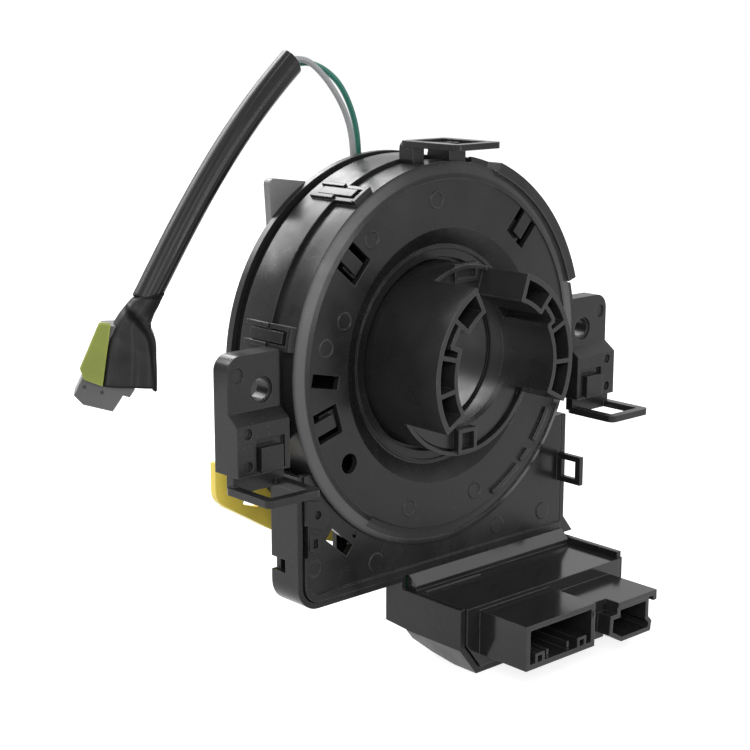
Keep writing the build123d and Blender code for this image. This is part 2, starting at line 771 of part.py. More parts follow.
# Blocks that hold the ribbon cable's two ends
ring_y = 5.0                # front edge of the dust ring on the turning disc
with BuildPart() as lead_block_fixed:
    with BuildSketch(at_y(seam_y + floor_t)):
        sector(cable_out_r + 0.9, cable_case_r - wall, 262, 278)
    extrude(amount=-(ring_y - 0.4 - seam_y - floor_t))
    block(-2.4, 2.4, board_back_y, seam_y + floor_t + 0.6, -49.4, -47.4)
lead_block_fixed.part.label = "lead_block_fixed"
export_step(lead_block_fixed.part, "parts/lead_block_fixed.step")

with BuildPart() as lead_block_turning:
    with BuildSketch(at_y(cable_front_y)):
        sector(drum_out_r, drum_out_r + lead_block_t, 75, 105)
    extrude(amount=cable_front_y - cable_back_y)
lead_block_turning.part.label = "lead_block_turning"
export_step(lead_block_turning.part, "parts/lead_block_turning.step")

# Turning hub: tube with its foot, and the drum that carries the main gear
web_back_y = sleeve_gap_y + 2.4
tube_in_r = hub_tube_r - 0.8
ring_out_r = cable_case_r - wall - 0.9
ring_in_r = ring_out_r - 1.5
with BuildPart() as rotor_hub:
    with BuildSketch(Plane.XY):
        with BuildLine():
            Polyline(
                (tube_in_r, disc_back_y + 3.0),
                (hub_tube_r + 2.4, disc_back_y + 3.0),
                (hub_tube_r + 2.4, disc_back_y),
                (drum_out_r, disc_back_y),
                (drum_out_r, gear_front_y - 0.4),
                (drum_in_r, gear_front_y - 0.4),
                (drum_in_r, disc_front_y),
                (hub_tube_r + hub_tube_wall, disc_front_y),
                (hub_tube_r + hub_tube_wall, web_back_y),
                (hub_tube_r, web_back_y),
                (hub_tube_r, -11.0),
                (tube_in_r, -11.0),
                close=True,
            )
        make_face()
    revolve(axis=Axis.Y)
    # Notches for the main gear's lugs
    for side in (-1, 1):
        block(side * drum_in_r - 1.6, side * drum_out_r + 1.6, gear_front_y - 0.4,
              gear_front_y + 1.6, -1.6, 1.6, mode=Mode.SUBTRACT)
rotor_hub.part.label = "rotor_hub"
export_step(rotor_hub.part, "parts/rotor_hub.step")

# Turning disc round the hub, with its dust ring and rim
with BuildPart() as rotor_flange:
    with BuildSketch(Plane.XY):
        with BuildLine():
            Polyline(
                (drum_out_r, disc_back_y),
                (rim_r, disc_back_y),
                (rim_r, rim_front_y),
                (rim_r - 1.6, rim_front_y),
                (rim_r - 1.6, disc_front_y),
                (ring_out_r, disc_front_y),
                (ring_out_r, ring_y),
                (ring_in_r, ring_y),
                (ring_in_r, disc_front_y),
                (drum_out_r, disc_front_y),
                close=True,
            )
        make_face()
    revolve(axis=Axis.Y)
    # Guide on the wheel side that the airbag wires come out of
    block(-8.4, 0.8, disc_back_y, lead_y + 3.2, 38.0, lead_exit_z)
rotor_flange.part.label = "rotor_flange"
export_step(rotor_flange.part, "parts/rotor_flange.step")

# Main gear on the drum
with BuildPart() as main_gear:
    with BuildSketch(at_y(gear_front_y)):
        Polygon(*gear_points(main_teeth, gear_angle_a), align=None)
        Circle(drum_out_r + 0.02, mode=Mode.SUBTRACT)
    extrude(amount=-(gear_t - 0.6))
    for side in (-1, 1):
        block(side * (drum_out_r - 0.4) - 0.7, side * (drum_out_r - 0.4) + 0.7, gear_front_y,
              gear_front_y + 1.4, -1.5, 1.5)
main_gear.part.label = "main_gear"
export_step(main_gear.part, "parts/main_gear.step")

# Sensor gears and their magnets
tooth_pitch = 360 / main_teeth
for name, teeth, angle, centre in (
    ("a", teeth_a, gear_angle_a, centre_a),
    ("b", teeth_b, gear_angle_b, centre_b),
):
    behind = (angle - gear_angle_a) % tooth_pitch
    turn = angle + 180 + behind * main_teeth / teeth + 180 / teeth
    with BuildPart() as sensor_gear:
        with BuildSketch(at_y(gear_front_y)):
            Polygon(*gear_points(teeth, turn, centre), align=None)
        extrude(amount=-gear_t)
        with BuildSketch(at_y(gear_front_y)):
            with Locations(centre):
                Circle(magnet_r)
        extrude(amount=-(magnet_t - magnet_proud), mode=Mode.SUBTRACT)
        with BuildSketch(at_y(gear_back_y)):
            with Locations(centre):
                Circle(post_r + post_fit)
        extrude(amount=gear_t - magnet_t - 0.3, mode=Mode.SUBTRACT)
        with BuildSketch(at_y(gear_front_y)):
            with Locations(centre):
                Circle(magnet_r + 3.6)
                Circle(magnet_r + 1.2, mode=Mode.SUBTRACT)
        extrude(amount=-0.8, mode=Mode.SUBTRACT)
    sensor_gear.part.label = "sensor_gear_" + name
    export_step(sensor_gear.part, "parts/sensor_gear_" + name + ".step")

    with BuildPart() as sensor_magnet:
        with BuildSketch(at_y(gear_front_y - magnet_proud)):
            with Locations(centre):
                Circle(magnet_r)
        extrude(amount=-magnet_t)
    sensor_magnet.part.label = "sensor_magnet_" + name
    export_step(sensor_magnet.part, "parts/sensor_magnet_" + name + ".step")

# Cancelling sleeve: long tube with two ribbed arcs and two open gaps at its end
sleeve_arcs = ((117, 213), (-28, 73))
stepped_arcs = ((141, 157, 20.6), (31, 47, 19.6))
rib_t = 1.1
ribs = (
    (118.2, sleeve_bore_r, sleeve_r), (141, sleeve_bore_r, sleeve_r), (157, sleeve_bore_r, 21.4),
    (165, sleeve_bore_r, sleeve_r), (189, sleeve_bore_r, sleeve_r), (211.8, sleeve_bore_r, sleeve_r),
    (71.8, sleeve_bore_r, sleeve_r), (47, sleeve_bore_r, sleeve_r), (31, sleeve_bore_r, 20.4),
    (24, sleeve_bore_r, sleeve_r), (-2, sleeve_bore_r, sleeve_r), (-26.8, sleeve_bore_r, sleeve_r),
)
with BuildPart() as cancel_sleeve:
    with BuildSketch(at_y(sleeve_gap_y)):
        Circle(sleeve_r)
        Circle(sleeve_r - sleeve_wall, mode=Mode.SUBTRACT)
    extrude(amount=sleeve_gap_y - sleeve_back_y)
    with BuildSketch(at_y(sleeve_gap_y)):
        Circle(sleeve_r)
        Circle(sleeve_bore_r, mode=Mode.SUBTRACT)
    extrude(amount=sleeve_gap_y - web_back_y)
    with BuildSketch(at_y(sleeve_gap_y)):
        for start, end in sleeve_arcs:
            sector(sleeve_r - sleeve_wall, sleeve_r, start, end)
            sector(sleeve_bore_r, sleeve_bore_r + sleeve_inner_wall, start, end)
        for start, end, radius in stepped_arcs:
            sector(sleeve_bore_r - 0.5, sleeve_bore_r + 1.5, start, end, mode=Mode.SUBTRACT)
            sector(radius, radius + sleeve_inner_wall, start, end)
        for angle, low, high in ribs:
            with PolarLocations((low + high) / 2 + 0.1, 1, start_angle=angle):
                Rectangle(high - low - 0.4, rib_t)
    extrude(amount=sleeve_gap_y - sleeve_front_y)
    # Collar lip and slit in the two gaps
    with BuildSketch(at_y(sleeve_gap_y)):
        sector(sleeve_r - 0.8, sleeve_r + 0.3, 213, 332)
        sector(sleeve_r - 0.8, sleeve_r + 0.3, 73, 117)
    extrude(amount=1.2)
    with BuildSketch(at_y(sleeve_gap_y)):
        sector(sleeve_r - 1.4, sleeve_r - 0.8, 216, 329)
    extrude(amount=-1.4, mode=Mode.SUBTRACT)
    # Hollow keys in the gaps
    block(-3.3, 3.3, -22.5, sleeve_gap_y + 0.8, 0.4 - sleeve_r, -sleeve_bore_r - 0.4)
    block(-2.3, 2.3, -22.5, sleeve_gap_y, 1.4 - sleeve_r, -sleeve_bore_r - 1.4, mode=Mode.SUBTRACT)
    block(-4.2, 4.2, -21.4, sleeve_gap_y + 0.8, key_r, key_out_r)
    block(-3.2, 3.2, -21.4, sleeve_gap_y, key_r + 1.0, key_out_r - 1.0, mode=Mode.SUBTRACT)
cancel_sleeve.part.label = "cancel_sleeve"
export_step(cancel_sleeve.part, "parts/cancel_sleeve.step")

# Wheel-side connector: a low flange behind the rim, and on it the deeper box with its terminals
flange_points = ((-37.3, 47.0), (-36.3, 31.0), (-17.0, 29.6), (-14.0, 43.8))
box_points = ((-29.4, 43.8), (-28.6, 32.0), (-18.2, 31.2), (-15.6, 42.4))
flange_t = 2.4
box_deep_y = 24.0
with BuildPart() as wheel_connector:
    with BuildSketch(at_y(disc_back_y)) as flange_outline:
        Polygon(*flange_points, align=None)
        fillet(flange_outline.vertices(), radius=1.5)
    extrude(amount=-flange_t)
    with BuildSketch(at_y(disc_back_y)) as box_outline:
        Polygon(*box_points, align=None)
        fillet(box_outline.vertices(), radius=0.8)
    extrude(amount=-(box_deep_y - disc_back_y))
    with BuildSketch(at_y(disc_back_y + 2.0)) as box_opening:
        Polygon(*box_points, align=None)
        offset(amount=-1.4)
    extrude(amount=-(box_deep_y - disc_back_y - 2.0), mode=Mode.SUBTRACT)
wheel_connector.part.label = "wheel_connector"
export_step(wheel_connector.part, "parts/wheel_connector.step")

wheel_pins = [(-26.0 + 2.6 * n, 35.4) for n in range(3)]
with BuildPart() as wheel_connector_pins:
    with BuildSketch(at_y(disc_back_y + 2.0)):
        with Locations(wheel_pins):
            Rectangle(pin, pin)
    extrude(amount=-8.0)
    block(wheel_pins[0][0] - 1.2, wheel_pins[-1][0] + 1.2, disc_back_y + 2.0, disc_back_y + 3.6,
          wheel_pins[0][1] - 1.2, wheel_pins[0][1] + 1.2)
wheel_connector_pins.part.label = "wheel_connector_pins"
export_step(wheel_connector_pins.part, "parts/wheel_connector_pins.step")

# Yellow lock plate behind the rim, with a slot and a thick lower lip
with BuildPart() as lock_tab:
    with BuildSketch(at_y(disc_back_y)) as lock_outline:
        with BuildLine():
            Polyline((-56.0, -24.0), (-56.0, -34.2), (-37.0, -46.0), (-15.0, -54.0),
                     (-12.0, -46.0), (-27.0, -38.0), (-44.0, -24.0), close=True)
        make_face()
        fillet(lock_outline.vertices().sort_by(Axis.X)[0:2].sort_by(Axis.Y)[0], radius=5.0)
    extrude(amount=-2.0)
    with BuildSketch(at_y(disc_back_y)) as lip_outline:
        with BuildLine():
            Polyline((-50.6, -37.6), (-37.0, -46.0), (-15.0, -54.0), (-14.4, -52.4),
                     (-36.3, -44.4), (-49.8, -36.2), close=True)
        make_face()
    extrude(amount=-6.0)
    with BuildSketch(at_y(disc_back_y)):
        with Locations((-44.6, -36.6)):
            Rectangle(5.2, 1.8, rotation=-18)
    extrude(amount=-2.0, mode=Mode.SUBTRACT)
lock_tab.part.label = "lock_tab"
export_step(lock_tab.part, "parts/lock_tab.step")

# Airbag lead: two wires into a cloth sleeve, then the taped plug
white_y = lead_y - wire_spread
green_y = lead_y + wire_spread
white_route = [
    (-5.6, white_y, lead_exit_z), (-5.6, white_y, 54.6), (-8.3, white_y, 62.6),
    (-13.3, white_y, 69.5), (-18.4, white_y, 74.2), (-22.6, white_y, 76.3), (-26.4, white_y, 76.0),
]
green_route = [
    (-2.1, green_y, lead_exit_z), (-2.1, green_y, 54.4), (-4.2, green_y, 62.2),
    (-8.2, green_y, 69.1), (-13.2, green_y, 73.0), (-18.2, green_y, 74.9),
    (-21.7, green_y, 75.1), (-25.1, green_y, 74.5),
]
sleeve_route = [
    (-25.0, lead_y, 75.9), (-31.6, lead_y, 70.3), (-42.0, lead_y, 59.9), (-51.6, lead_y, 48.6),
    (-60.1, lead_y, 37.1), (-66.6, lead_y, 27.6), (-72.2, lead_y, 19.2),
]
with BuildPart() as white_wire:
    lead_tube(white_route, wire_d, "white_wire")
white_wire.part.label = "white_wire"
export_step(white_wire.part, "parts/white_wire.step")

with BuildPart() as green_wire:
    lead_tube(green_route, wire_d, "green_wire")
green_wire.part.label = "green_wire"
export_step(green_wire.part, "parts/green_wire.step")

with BuildPart() as lead_sleeve:
    lead_tube(sleeve_route, lead_d, "lead_sleeve")
lead_sleeve.part.label = "lead_sleeve"
export_step(lead_sleeve.part, "parts/lead_sleeve.step")

# Plug body, seen from the side, with its cavity for the igniter
plug_middle = (-78.1, lead_y + 3.8, 4.85)
plug_side = Vector(-sin(radians(plug_turn)), -cos(radians(plug_turn)), 0)
plug_across = (cos(radians(plug_turn)), -sin(radians(plug_turn)), 0)


def plug_plane(level):
    """Drawing plane of the plug, level along its own thickness."""
    origin = Vector(plug_middle) + plug_side * level
    return Plane(origin=origin, x_dir=plug_across, z_dir=plug_side)


plug_points = (
    (-8.3, -2.8), (-10.9, -7.9), (-8.8, -10.3), (-1.7, -12.3), (0.3, -9.4), (0.9, -8.4),
    (2.5, -8.9), (3.8, -7.0), (3.6, 3.0), (-0.4, 9.0), (-3.9, 9.0),
)
with BuildPart() as plug_body:
    with BuildSketch(plug_plane(plug_t / 2)):
        Polygon(*plug_points, align=None)
    extrude(amount=-plug_t)
plug_body.part.label = "plug_body"
export_step(plug_body.part, "parts/plug_body.step")

# Lime lock clipped on the plug
with BuildPart() as plug_lock:
    with BuildSketch(plug_plane(plug_t / 2)) as lock_face:
        Polygon((-4.2, 10.1), (-1.4, 9.8), (-3.9, -5.6), (-8.3, -3.8), (-9.2, -1.0), align=None)
        fillet(lock_face.vertices().sort_by(Axis.Y)[-2:], radius=0.6)
    extrude(amount=1.4)
plug_lock.part.label = "plug_lock"
export_step(plug_lock.part, "parts/plug_lock.step")

# Tape round the end of the sleeve and the neck of the plug
with BuildPart() as tape_wrap:
    with BuildSketch(plug_plane(plug_t / 2 + tape_t)) as tape_outline:
        with BuildLine():
            Polyline((2.9, 15.6), (0.6, 12.4), (-0.9, 9.3), (-1.8, 5.6), (-3.6, -5.7), (2.6, -6.7),
                     (8.4, -7.2), (9.3, -2.2), (9.4, 2.8), (9.0, 5.8), (7.9, 8.3), (10.4, 13.8),
                     close=True)
        make_face()
    extrude(amount=-(plug_t + 2 * tape_t))
    with BuildSketch(plug_plane(plug_t / 2)):
        Polygon(*plug_points, align=None)
    extrude(amount=-plug_t, mode=Mode.SUBTRACT)
tape_wrap.part.label = "tape_wrap"
export_step(tape_wrap.part, "parts/tape_wrap.step")
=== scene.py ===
import json
import math

import bpy
import bmesh
import numpy as np
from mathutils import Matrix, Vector


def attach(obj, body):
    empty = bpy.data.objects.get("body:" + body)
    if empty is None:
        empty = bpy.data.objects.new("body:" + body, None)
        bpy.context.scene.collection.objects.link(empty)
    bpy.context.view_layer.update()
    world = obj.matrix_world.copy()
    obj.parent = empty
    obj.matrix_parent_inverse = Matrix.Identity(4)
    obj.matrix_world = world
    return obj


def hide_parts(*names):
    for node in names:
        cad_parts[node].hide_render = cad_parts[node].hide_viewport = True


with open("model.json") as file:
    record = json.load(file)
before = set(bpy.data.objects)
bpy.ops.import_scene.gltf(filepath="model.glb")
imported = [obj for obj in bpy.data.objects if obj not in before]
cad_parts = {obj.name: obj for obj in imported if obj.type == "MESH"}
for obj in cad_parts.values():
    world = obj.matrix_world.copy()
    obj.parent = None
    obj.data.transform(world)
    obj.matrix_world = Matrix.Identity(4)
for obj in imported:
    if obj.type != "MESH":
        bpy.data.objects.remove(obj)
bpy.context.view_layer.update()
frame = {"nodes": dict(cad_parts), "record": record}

# Steering clock spring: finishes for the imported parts, and the airbag lead in cloth, tape and wire.
# Values are in metres and radians, but in millimetres where a name ends in Mm and in degrees where it
# ends in Deg.

scene = bpy.context.scene
scene.view_settings.view_transform = "Standard"
nodes = frame["nodes"]
mm = 0.001
mergeGap = 1e-7
print("stage: frame loaded,", len(nodes), "nodes")


# Camera at the picture's viewpoint
cameraSet = {
    "place": (-0.29275, -0.31143, 0.08720),
    "turnDeg": 42.01,       # from +Y towards +X
    "dropDeg": 12.47,       # below level
    "lensMm": 78.3,
    "sensorMm": 36.0,
    "clipNear": 0.01,
    "clipFar": 50.0,
}


def makeCamera(size):
    turn, drop = math.radians(size["turnDeg"]), math.radians(size["dropDeg"])
    aim = Vector((math.sin(turn) * math.cos(drop), math.cos(turn) * math.cos(drop), -math.sin(drop)))
    data = bpy.data.cameras.new("camera")
    data.lens = size["lensMm"]
    data.sensor_width = size["sensorMm"]
    data.clip_start, data.clip_end = size["clipNear"], size["clipFar"]
    camera = bpy.data.objects.new("camera", data)
    camera.location = size["place"]
    camera.rotation_mode = "QUATERNION"
    camera.rotation_quaternion = aim.to_track_quat("-Z", "Y")
    scene.collection.objects.link(camera)
    scene.camera = camera


makeCamera(cameraSet)


# Cords of the airbag lead, with the same route points as in the part's source
leadSet = {
    "whiteRouteMm": [
        (-5.6, 16.1, 48.6), (-5.6, 16.1, 54.6), (-8.3, 16.1, 62.6), (-13.3, 16.1, 69.5),
        (-18.4, 16.1, 74.2), (-22.6, 16.1, 76.3), (-26.4, 16.1, 76.0),
    ],
    "greenRouteMm": [
        (-2.1, 17.9, 48.6), (-2.1, 17.9, 54.4), (-4.2, 17.9, 62.2), (-8.2, 17.9, 69.1),
        (-13.2, 17.9, 73.0), (-18.2, 17.9, 74.9), (-21.7, 17.9, 75.1), (-25.1, 17.9, 74.5),
    ],
    "sleeveRouteMm": [
        (-25.0, 17.0, 75.9), (-31.6, 17.0, 70.3), (-42.0, 17.0, 59.9), (-51.6, 17.0, 48.6),
        (-60.1, 17.0, 37.1), (-66.6, 17.0, 27.6), (-72.2, 17.0, 19.2),
    ],
    "whiteLength": 0.0382,
    "greenLength": 0.0403,
    "sleeveLength": 0.0741,
    "wireWide": 0.0016,
    "sleeveWide": 0.0066,
    "curveOrder": 3,
    "curveSteps": 14,       # steps from one route point to the next
    "roundSteps": 6,        # the wire's round has 4 sides and twice this many more
}


# A smooth line with the route's points as its control points, as thick as the wire
def nurbsRoute(name, pointsMm, radius, size):
    places = np.ones((len(pointsMm), 4))
    places[:, :3] = np.array(pointsMm) * mm
    curve = bpy.data.curves.new(name, "CURVE")
    curve.dimensions = "3D"
    spline = curve.splines.new("NURBS")
    spline.points.add(len(pointsMm) - 1)
    spline.points.foreach_set("co", places.ravel())
    spline.order_u = size["curveOrder"]
    spline.use_endpoint_u = True
    spline.resolution_u = size["curveSteps"]
    curve.bevel_depth = radius
    curve.bevel_resolution = size["roundSteps"]
    curve.use_fill_caps = True
    line = bpy.data.objects.new(name, curve)
    scene.collection.objects.link(line)
    return line


# Evenly spaced points read from the route's own smooth line
def routeLine(pointsMm, count, size):
    line = nurbsRoute("routeGuide", pointsMm, 0.0, size)
    bpy.context.view_layer.update()
    mesh = bpy.data.meshes.new_from_object(line)
    raw = np.empty(len(mesh.vertices) * 3)
    mesh.vertices.foreach_get("co", raw)
    raw = raw.reshape(-1, 3)
    bpy.data.meshes.remove(mesh)
    bpy.data.objects.remove(line)
    run = np.concatenate([[0.0], np.cumsum(np.linalg.norm(np.diff(raw, axis=0), axis=1))])
    even = np.linspace(0.0, run[-1], count)
    return np.stack([np.interp(even, run, raw[:, axis]) for axis in range(3)], axis=1)


whiteWire = nurbsRoute("whiteWire", leadSet["whiteRouteMm"], leadSet["wireWide"] / 2, leadSet)
greenWire = nurbsRoute("greenWire", leadSet["greenRouteMm"], leadSet["wireWide"] / 2, leadSet)
print("stage: camera and wires made")


# Mesh from a rows x columns grid of points: each cell is one face, and columns run round the piece.
# UV = (share of the way round, distance along). Rows that shrink to a point close the piece, doubled
# points are merged, and painted shade (0 to 1 per point) is kept on the mesh for its finish.
def gridPiece(name, grid, paintedShade):
    rows, columns = grid.shape[:2]
    here = np.arange(rows * columns).reshape(rows, columns)
    beside = np.roll(here, -1, axis=1)
    faces = np.stack([here[:-1], beside[:-1], beside[1:], here[1:]], axis=-1).reshape(-1, 4)
    mesh = bpy.data.meshes.new(name)
    mesh.from_pydata(grid.reshape(-1, 3).tolist(), [], faces.tolist())
    around = np.tile(np.arange(columns + 1) / columns, (rows - 1, 1))
    step = np.linalg.norm(np.diff(grid.mean(axis=1), axis=0), axis=1)
    along = np.repeat(np.concatenate([[0.0], np.cumsum(step)])[:, None], columns, axis=1)
    u0, u1, v0, v1 = around[:, :-1], around[:, 1:], along[:-1], along[1:]
    uvLayer = mesh.uv_layers.new(name="UVMap")
    uvLayer.data.foreach_set("uv", np.stack([u0, v0, u1, v0, u1, v1, u0, v1], axis=-1).ravel())
    foldLayer = mesh.attributes.new("foldAndShade", "FLOAT", "POINT")
    foldLayer.data.foreach_set("value", np.clip(paintedShade, 0.0, 1.0).ravel())
    work = bmesh.new()
    work.from_mesh(mesh)
    bmesh.ops.remove_doubles(work, verts=work.verts, dist=mergeGap)
    bmesh.ops.recalc_face_normals(work, faces=work.faces)
    work.to_mesh(mesh)
    work.free()
    mesh.polygons.foreach_set("use_smooth", np.ones(len(mesh.polygons), dtype=bool))
    piece = bpy.data.objects.new(name, mesh)
    scene.collection.objects.link(piece)
    return piece


# Rises from 0 at low to 1 at high as s squared x (3 - 2s), s being the share of the way. It falls
# where high is below low.
def smoothStep(low, high, value):
    share = np.clip((value - low) / (high - low), 0.0, 1.0)
    return share * share * (3.0 - 2.0 * share)


# Strength x smooth step
def ramp(mark, value):
    strength, low, high = mark
    return strength * smoothStep(low, high, value)


# Evenly spaced angles of one turn, as one row
def turnRow(columns):
    return np.linspace(0.0, 2 * math.pi, columns, endpoint=False)[None, :]


# Sleeve of the lead: an open-ended tube with lengthwise creases and seams
sleeveSet = {
    "rings": 240,
    "columns": 160,
    # start angle, width, drift along the tube, depth
    "creases": [
        (0.30, 0.10, 0.50, 0.00022), (0.95, 0.07, 0.35, 0.00014), (1.55, 0.16, -0.60, 0.00024),
        (2.35, 0.08, 0.30, 0.00016), (3.60, 0.15, 0.40, 0.00020), (5.00, 0.12, -0.30, 0.00020),
    ],
    "seams": [(1.18, 0.050, 0.45, 0.00016), (2.62, 0.045, -0.35, 0.00012), (4.30, 0.050, 0.20, 0.00014)],
    "swaySize": 0.05,           # each line sways round the tube as it runs along it
    "swayRate": 7.0,
    "swayPhase": 3.0,           # times the line's start angle, so that no two lines sway alike
    "strengthMean": 0.6,        # each line is deeper in some stretches than in others
    "strengthSwing": 0.4,
    "strengthRate": 2.5,
    "strengthPhase": 2.0,
    "creaseShade": 0.9,
    "ovalShare": 0.035,         # the tube is a little oval, and the oval turns along it
    "ovalAngle": 0.8,
    "ovalDrift": 1.3,
    "cutOut": 0.0007,           # the mouth is cut at a slight slant
    "cutSlant": 0.0006,
    "cutAngle": 0.6,
    "cutRings": 12,
    "wallMm": 0.7,
    "mouthMm": 4.0,
    # shares of the wall, for the rounded edge of both ends
    "lipIn": 0.35,
    "lipOut": 0.25,
    "innerIn": 0.10,
}


# Radius = plain radius x (1 + oval share x cos 2a) less each crease's depth x exp(-(gap / width) squared),
# plus the same for each seam. The gap is the angle from the line, which drifts and sways.
def sleeveRadius(size, plain, share, angle):
    radius = np.full((size["rings"], size["columns"]), plain)
    radius *= 1.0 + size["ovalShare"] * np.cos(2 * angle + size["ovalAngle"] + size["ovalDrift"] * share)
    paintedShade = np.zeros_like(radius)
    for sign, lines in ((-1.0, size["creases"]), (1.0, size["seams"])):
        for start, wide, drift, deep in lines:
            sway = size["swaySize"] * np.sin(size["swayRate"] * share + size["swayPhase"] * start)
            gap = (angle - (start + drift * share + sway) + math.pi) % (2 * math.pi) - math.pi
            swing = np.sin(size["strengthRate"] * share + size["strengthPhase"] * start)
            mark = (size["strengthMean"] + size["strengthSwing"] * swing) * np.exp(-(gap / wide) ** 2)
            radius += sign * deep * mark
            # painted shade gathers in each crease and is taken away along each seam
            paintedShade -= size["creaseShade"] * sign * mark
    return radius, np.maximum(paintedShade, 0.0)


# Four rings that turn an end in over the wall, run on inside and close on the middle
def sleeveEnd(size, plain, ring, inward):
    wall, mouth = size["wallMm"] * mm, size["mouthMm"] * mm
    centre = ring.mean(axis=0)
    toCentre = (centre - ring) / plain
    rim = ring + size["lipIn"] * wall * toCentre - size["lipOut"] * wall * inward
    inner = ring + wall * toCentre + size["innerIn"] * wall * inward
    deep = inner + mouth * inward
    floor = np.repeat((centre + mouth * inward)[None], len(ring), axis=0)
    return np.stack([rim, inner, deep, floor])


# Point = line + radius x (cos a x outward + sin a x sideways), carried along the sleeve's route
def makeSleeve(size, lead):
    line = routeLine(lead["sleeveRouteMm"], size["rings"], lead)
    along = np.gradient(line, axis=0)
    along /= np.linalg.norm(along, axis=1)[:, None]
    sideWay = np.array([0.0, 1.0, 0.0])
    outWay = np.cross(along, sideWay)
    plain = lead["sleeveWide"] / 2
    share = np.linspace(0.0, 1.0, size["rings"])[:, None]
    angle = turnRow(size["columns"])
    radius, paintedShade = sleeveRadius(size, plain, share, angle)
    grid = line[:, None, :] + radius[..., None] * (
        np.cos(angle)[..., None] * outWay[:, None, :] + np.sin(angle)[..., None] * sideWay)
    slant = size["cutOut"] + size["cutSlant"] * np.cos(angle[0] + size["cutAngle"])
    fade = np.clip(1.0 - np.arange(size["rings"]) / size["cutRings"], 0.0, 1.0)
    grid += fade[:, None, None] * slant[None, :, None] * along[0]
    mouthEnd = sleeveEnd(size, plain, grid[0], along[0])[::-1]
    tapeEnd = sleeveEnd(size, plain, grid[-1], -along[-1])
    # the turned-in ends are painted fully in shade, the rims next to them not at all
    endShade, plainRim = np.ones((3, size["columns"])), np.zeros((1, size["columns"]))
    allShade = np.concatenate([endShade, plainRim, paintedShade, plainRim, endShade])
    return gridPiece("leadSleeve", np.concatenate([mouthEnd, grid, tapeEnd]), allShade), line


leadSleeve, sleeveLine = makeSleeve(sleeveSet, leadSet)


# Cloth tape round the sleeve's end and the neck of the plug, with one slanting fold over its front.
# All its places are in millimetres in the plug's own frame: across its front, out of its front, and up.
tapeSet = {
    "middleMm": (-78.1, 20.8, 4.85),
    "turnDeg": 33.0,
    "rows": 220,
    "columns": 240,
    # height, left edge, right edge, thickness, squareness
    "profileMm": [
        (16.0, 5.4, 11.7, 7.2, 2.2), (15.3, 4.0, 11.4, 7.3, 2.2), (13.3, 2.2, 10.4, 7.8, 2.4),
        (11.3, 0.6, 9.2, 8.3, 2.9), (9.1, -0.8, 8.3, 8.9, 3.8), (7.7, -1.5, 8.15, 9.2, 4.6),
        (5.7, -2.1, 8.95, 9.5, 6.0), (3.8, -2.5, 9.3, 9.7, 7.0), (1.8, -2.9, 9.3, 9.7, 7.5),
        (-1.4, -3.35, 9.3, 9.7, 8.0), (-5.2, -3.9, 9.25, 9.7, 8.0), (-6.3, -4.1, 9.2, 9.7, 8.0),
    ],
    "blendRows": 11,                    # rows above and below that soften the profile
    "frontSine": 0.45,                  # sine of the angle round the tape at which the front is full
    # height, place of the ridge across the front
    "ridgeMm": [
        (16.0, 1.2), (14.1, 2.6), (12.6, 3.95), (11.3, 5.6), (9.9, 7.0), (8.5, 8.1), (6.8, 8.85),
        (4.8, 9.1), (-6.3, 9.2),
    ],
    "ridgeHighMm": 0.45,
    "ridgeWideMm": 0.32,
    "ridgeFoot": 0.45,                  # share of its height that the ridge keeps at the foot
    # height, distance of the fold from the ridge
    "foldMm": [(16.0, 0.9), (13.6, 1.2), (11.1, 2.1), (8.3, 2.0), (4.8, 1.1), (1.0, 0.7), (-6.3, 0.6)],
    "foldDeepMm": 1.05,
    "foldWideMm": 0.22,
    "foldWidens": 0.36,                 # more width per distance from the ridge
    "upperMm": (-7.0, 5.0),             # ridge and fold come in between these heights
    # each wave: rate across, rate upwards, phase
    "dentsMm": 0.30,
    "dentWaves": [(0.70, 0.32, 0.4), (-0.25, 0.42, 1.0)],
    "rippleMm": (0.05, -4.0, 8.0),      # height, where it starts, where it is full
    "rippleWave": (1.1, 1.7, 0.0),
    "sideShare": 0.25,                  # share of the swell that goes sideways
    "collarMm": (14.9, 16.0),
    "collarHighMm": 0.12,
    "collarFall": (0.45, 0.4, -1.0),    # the top edge falls to the left: amount, cosine from, cosine to
    "footMm": (-3.0, -6.3),
    "footSlope": 0.07,
    "footMiddleMm": 3.0,
    "cornerHang": (0.85, 8.1, 9.0),     # the foot's right corner hangs lower: amount, place from, place to
    # painted shade on the cloth: strength, where it starts, where it is full
    "footShade": (0.75, -5.5, -6.2),
    "collarShade": (0.8, 14.9, 15.6),
    "leftShade": (0.7, 0.5, 0.0),
    "behindShade": (0.75, 9.0, 12.5),   # behind the ridge, near the top
    "behindGapMm": (-0.4, -1.6),
    "behindCosine": (0.1, 0.45),
    "dentShade": 0.45,
    "dentPlaceMm": (1.7, 1.2),
    "dentWideMm": (1.7, 1.5),
    "ridgeClear": 0.9,                  # share of the shade that the ridge's crest loses
    "wallMm": 0.6,
    "lipShare": 0.35,                   # share of the wall, for the rounded edge of both ends
    "lipOutMm": 0.12,
    "insideRows": 26,                   # how far in both ends close
}


# The profile's columns at each height, softened by a bell-shaped running mean
def tapeRows(size, height):
    table = np.array(size["profileMm"])[::-1]
    blend = size["blendRows"]
    kernel = np.hanning(2 * blend + 1)
    kernel /= kernel.sum()
    sharp = [np.interp(height[:, 0], table[:, 0], column) for column in table[:, 1:].T]
    return [np.convolve(np.pad(row, blend, mode="edge"), kernel, mode="valid")[:, None] for row in sharp]


# A line's place at each height, straight between its points
def lineAt(pointsMm, height):
    points = np.array(pointsMm)[::-1]
    return np.interp(height, points[:, 0], points[:, 1])


# Sine of rate across x place + rate upwards x height + phase
def wave(rates, across, height):
    acrossRate, upRate, phase = rates
    return np.sin(acrossRate * across + upRate * height + phase)


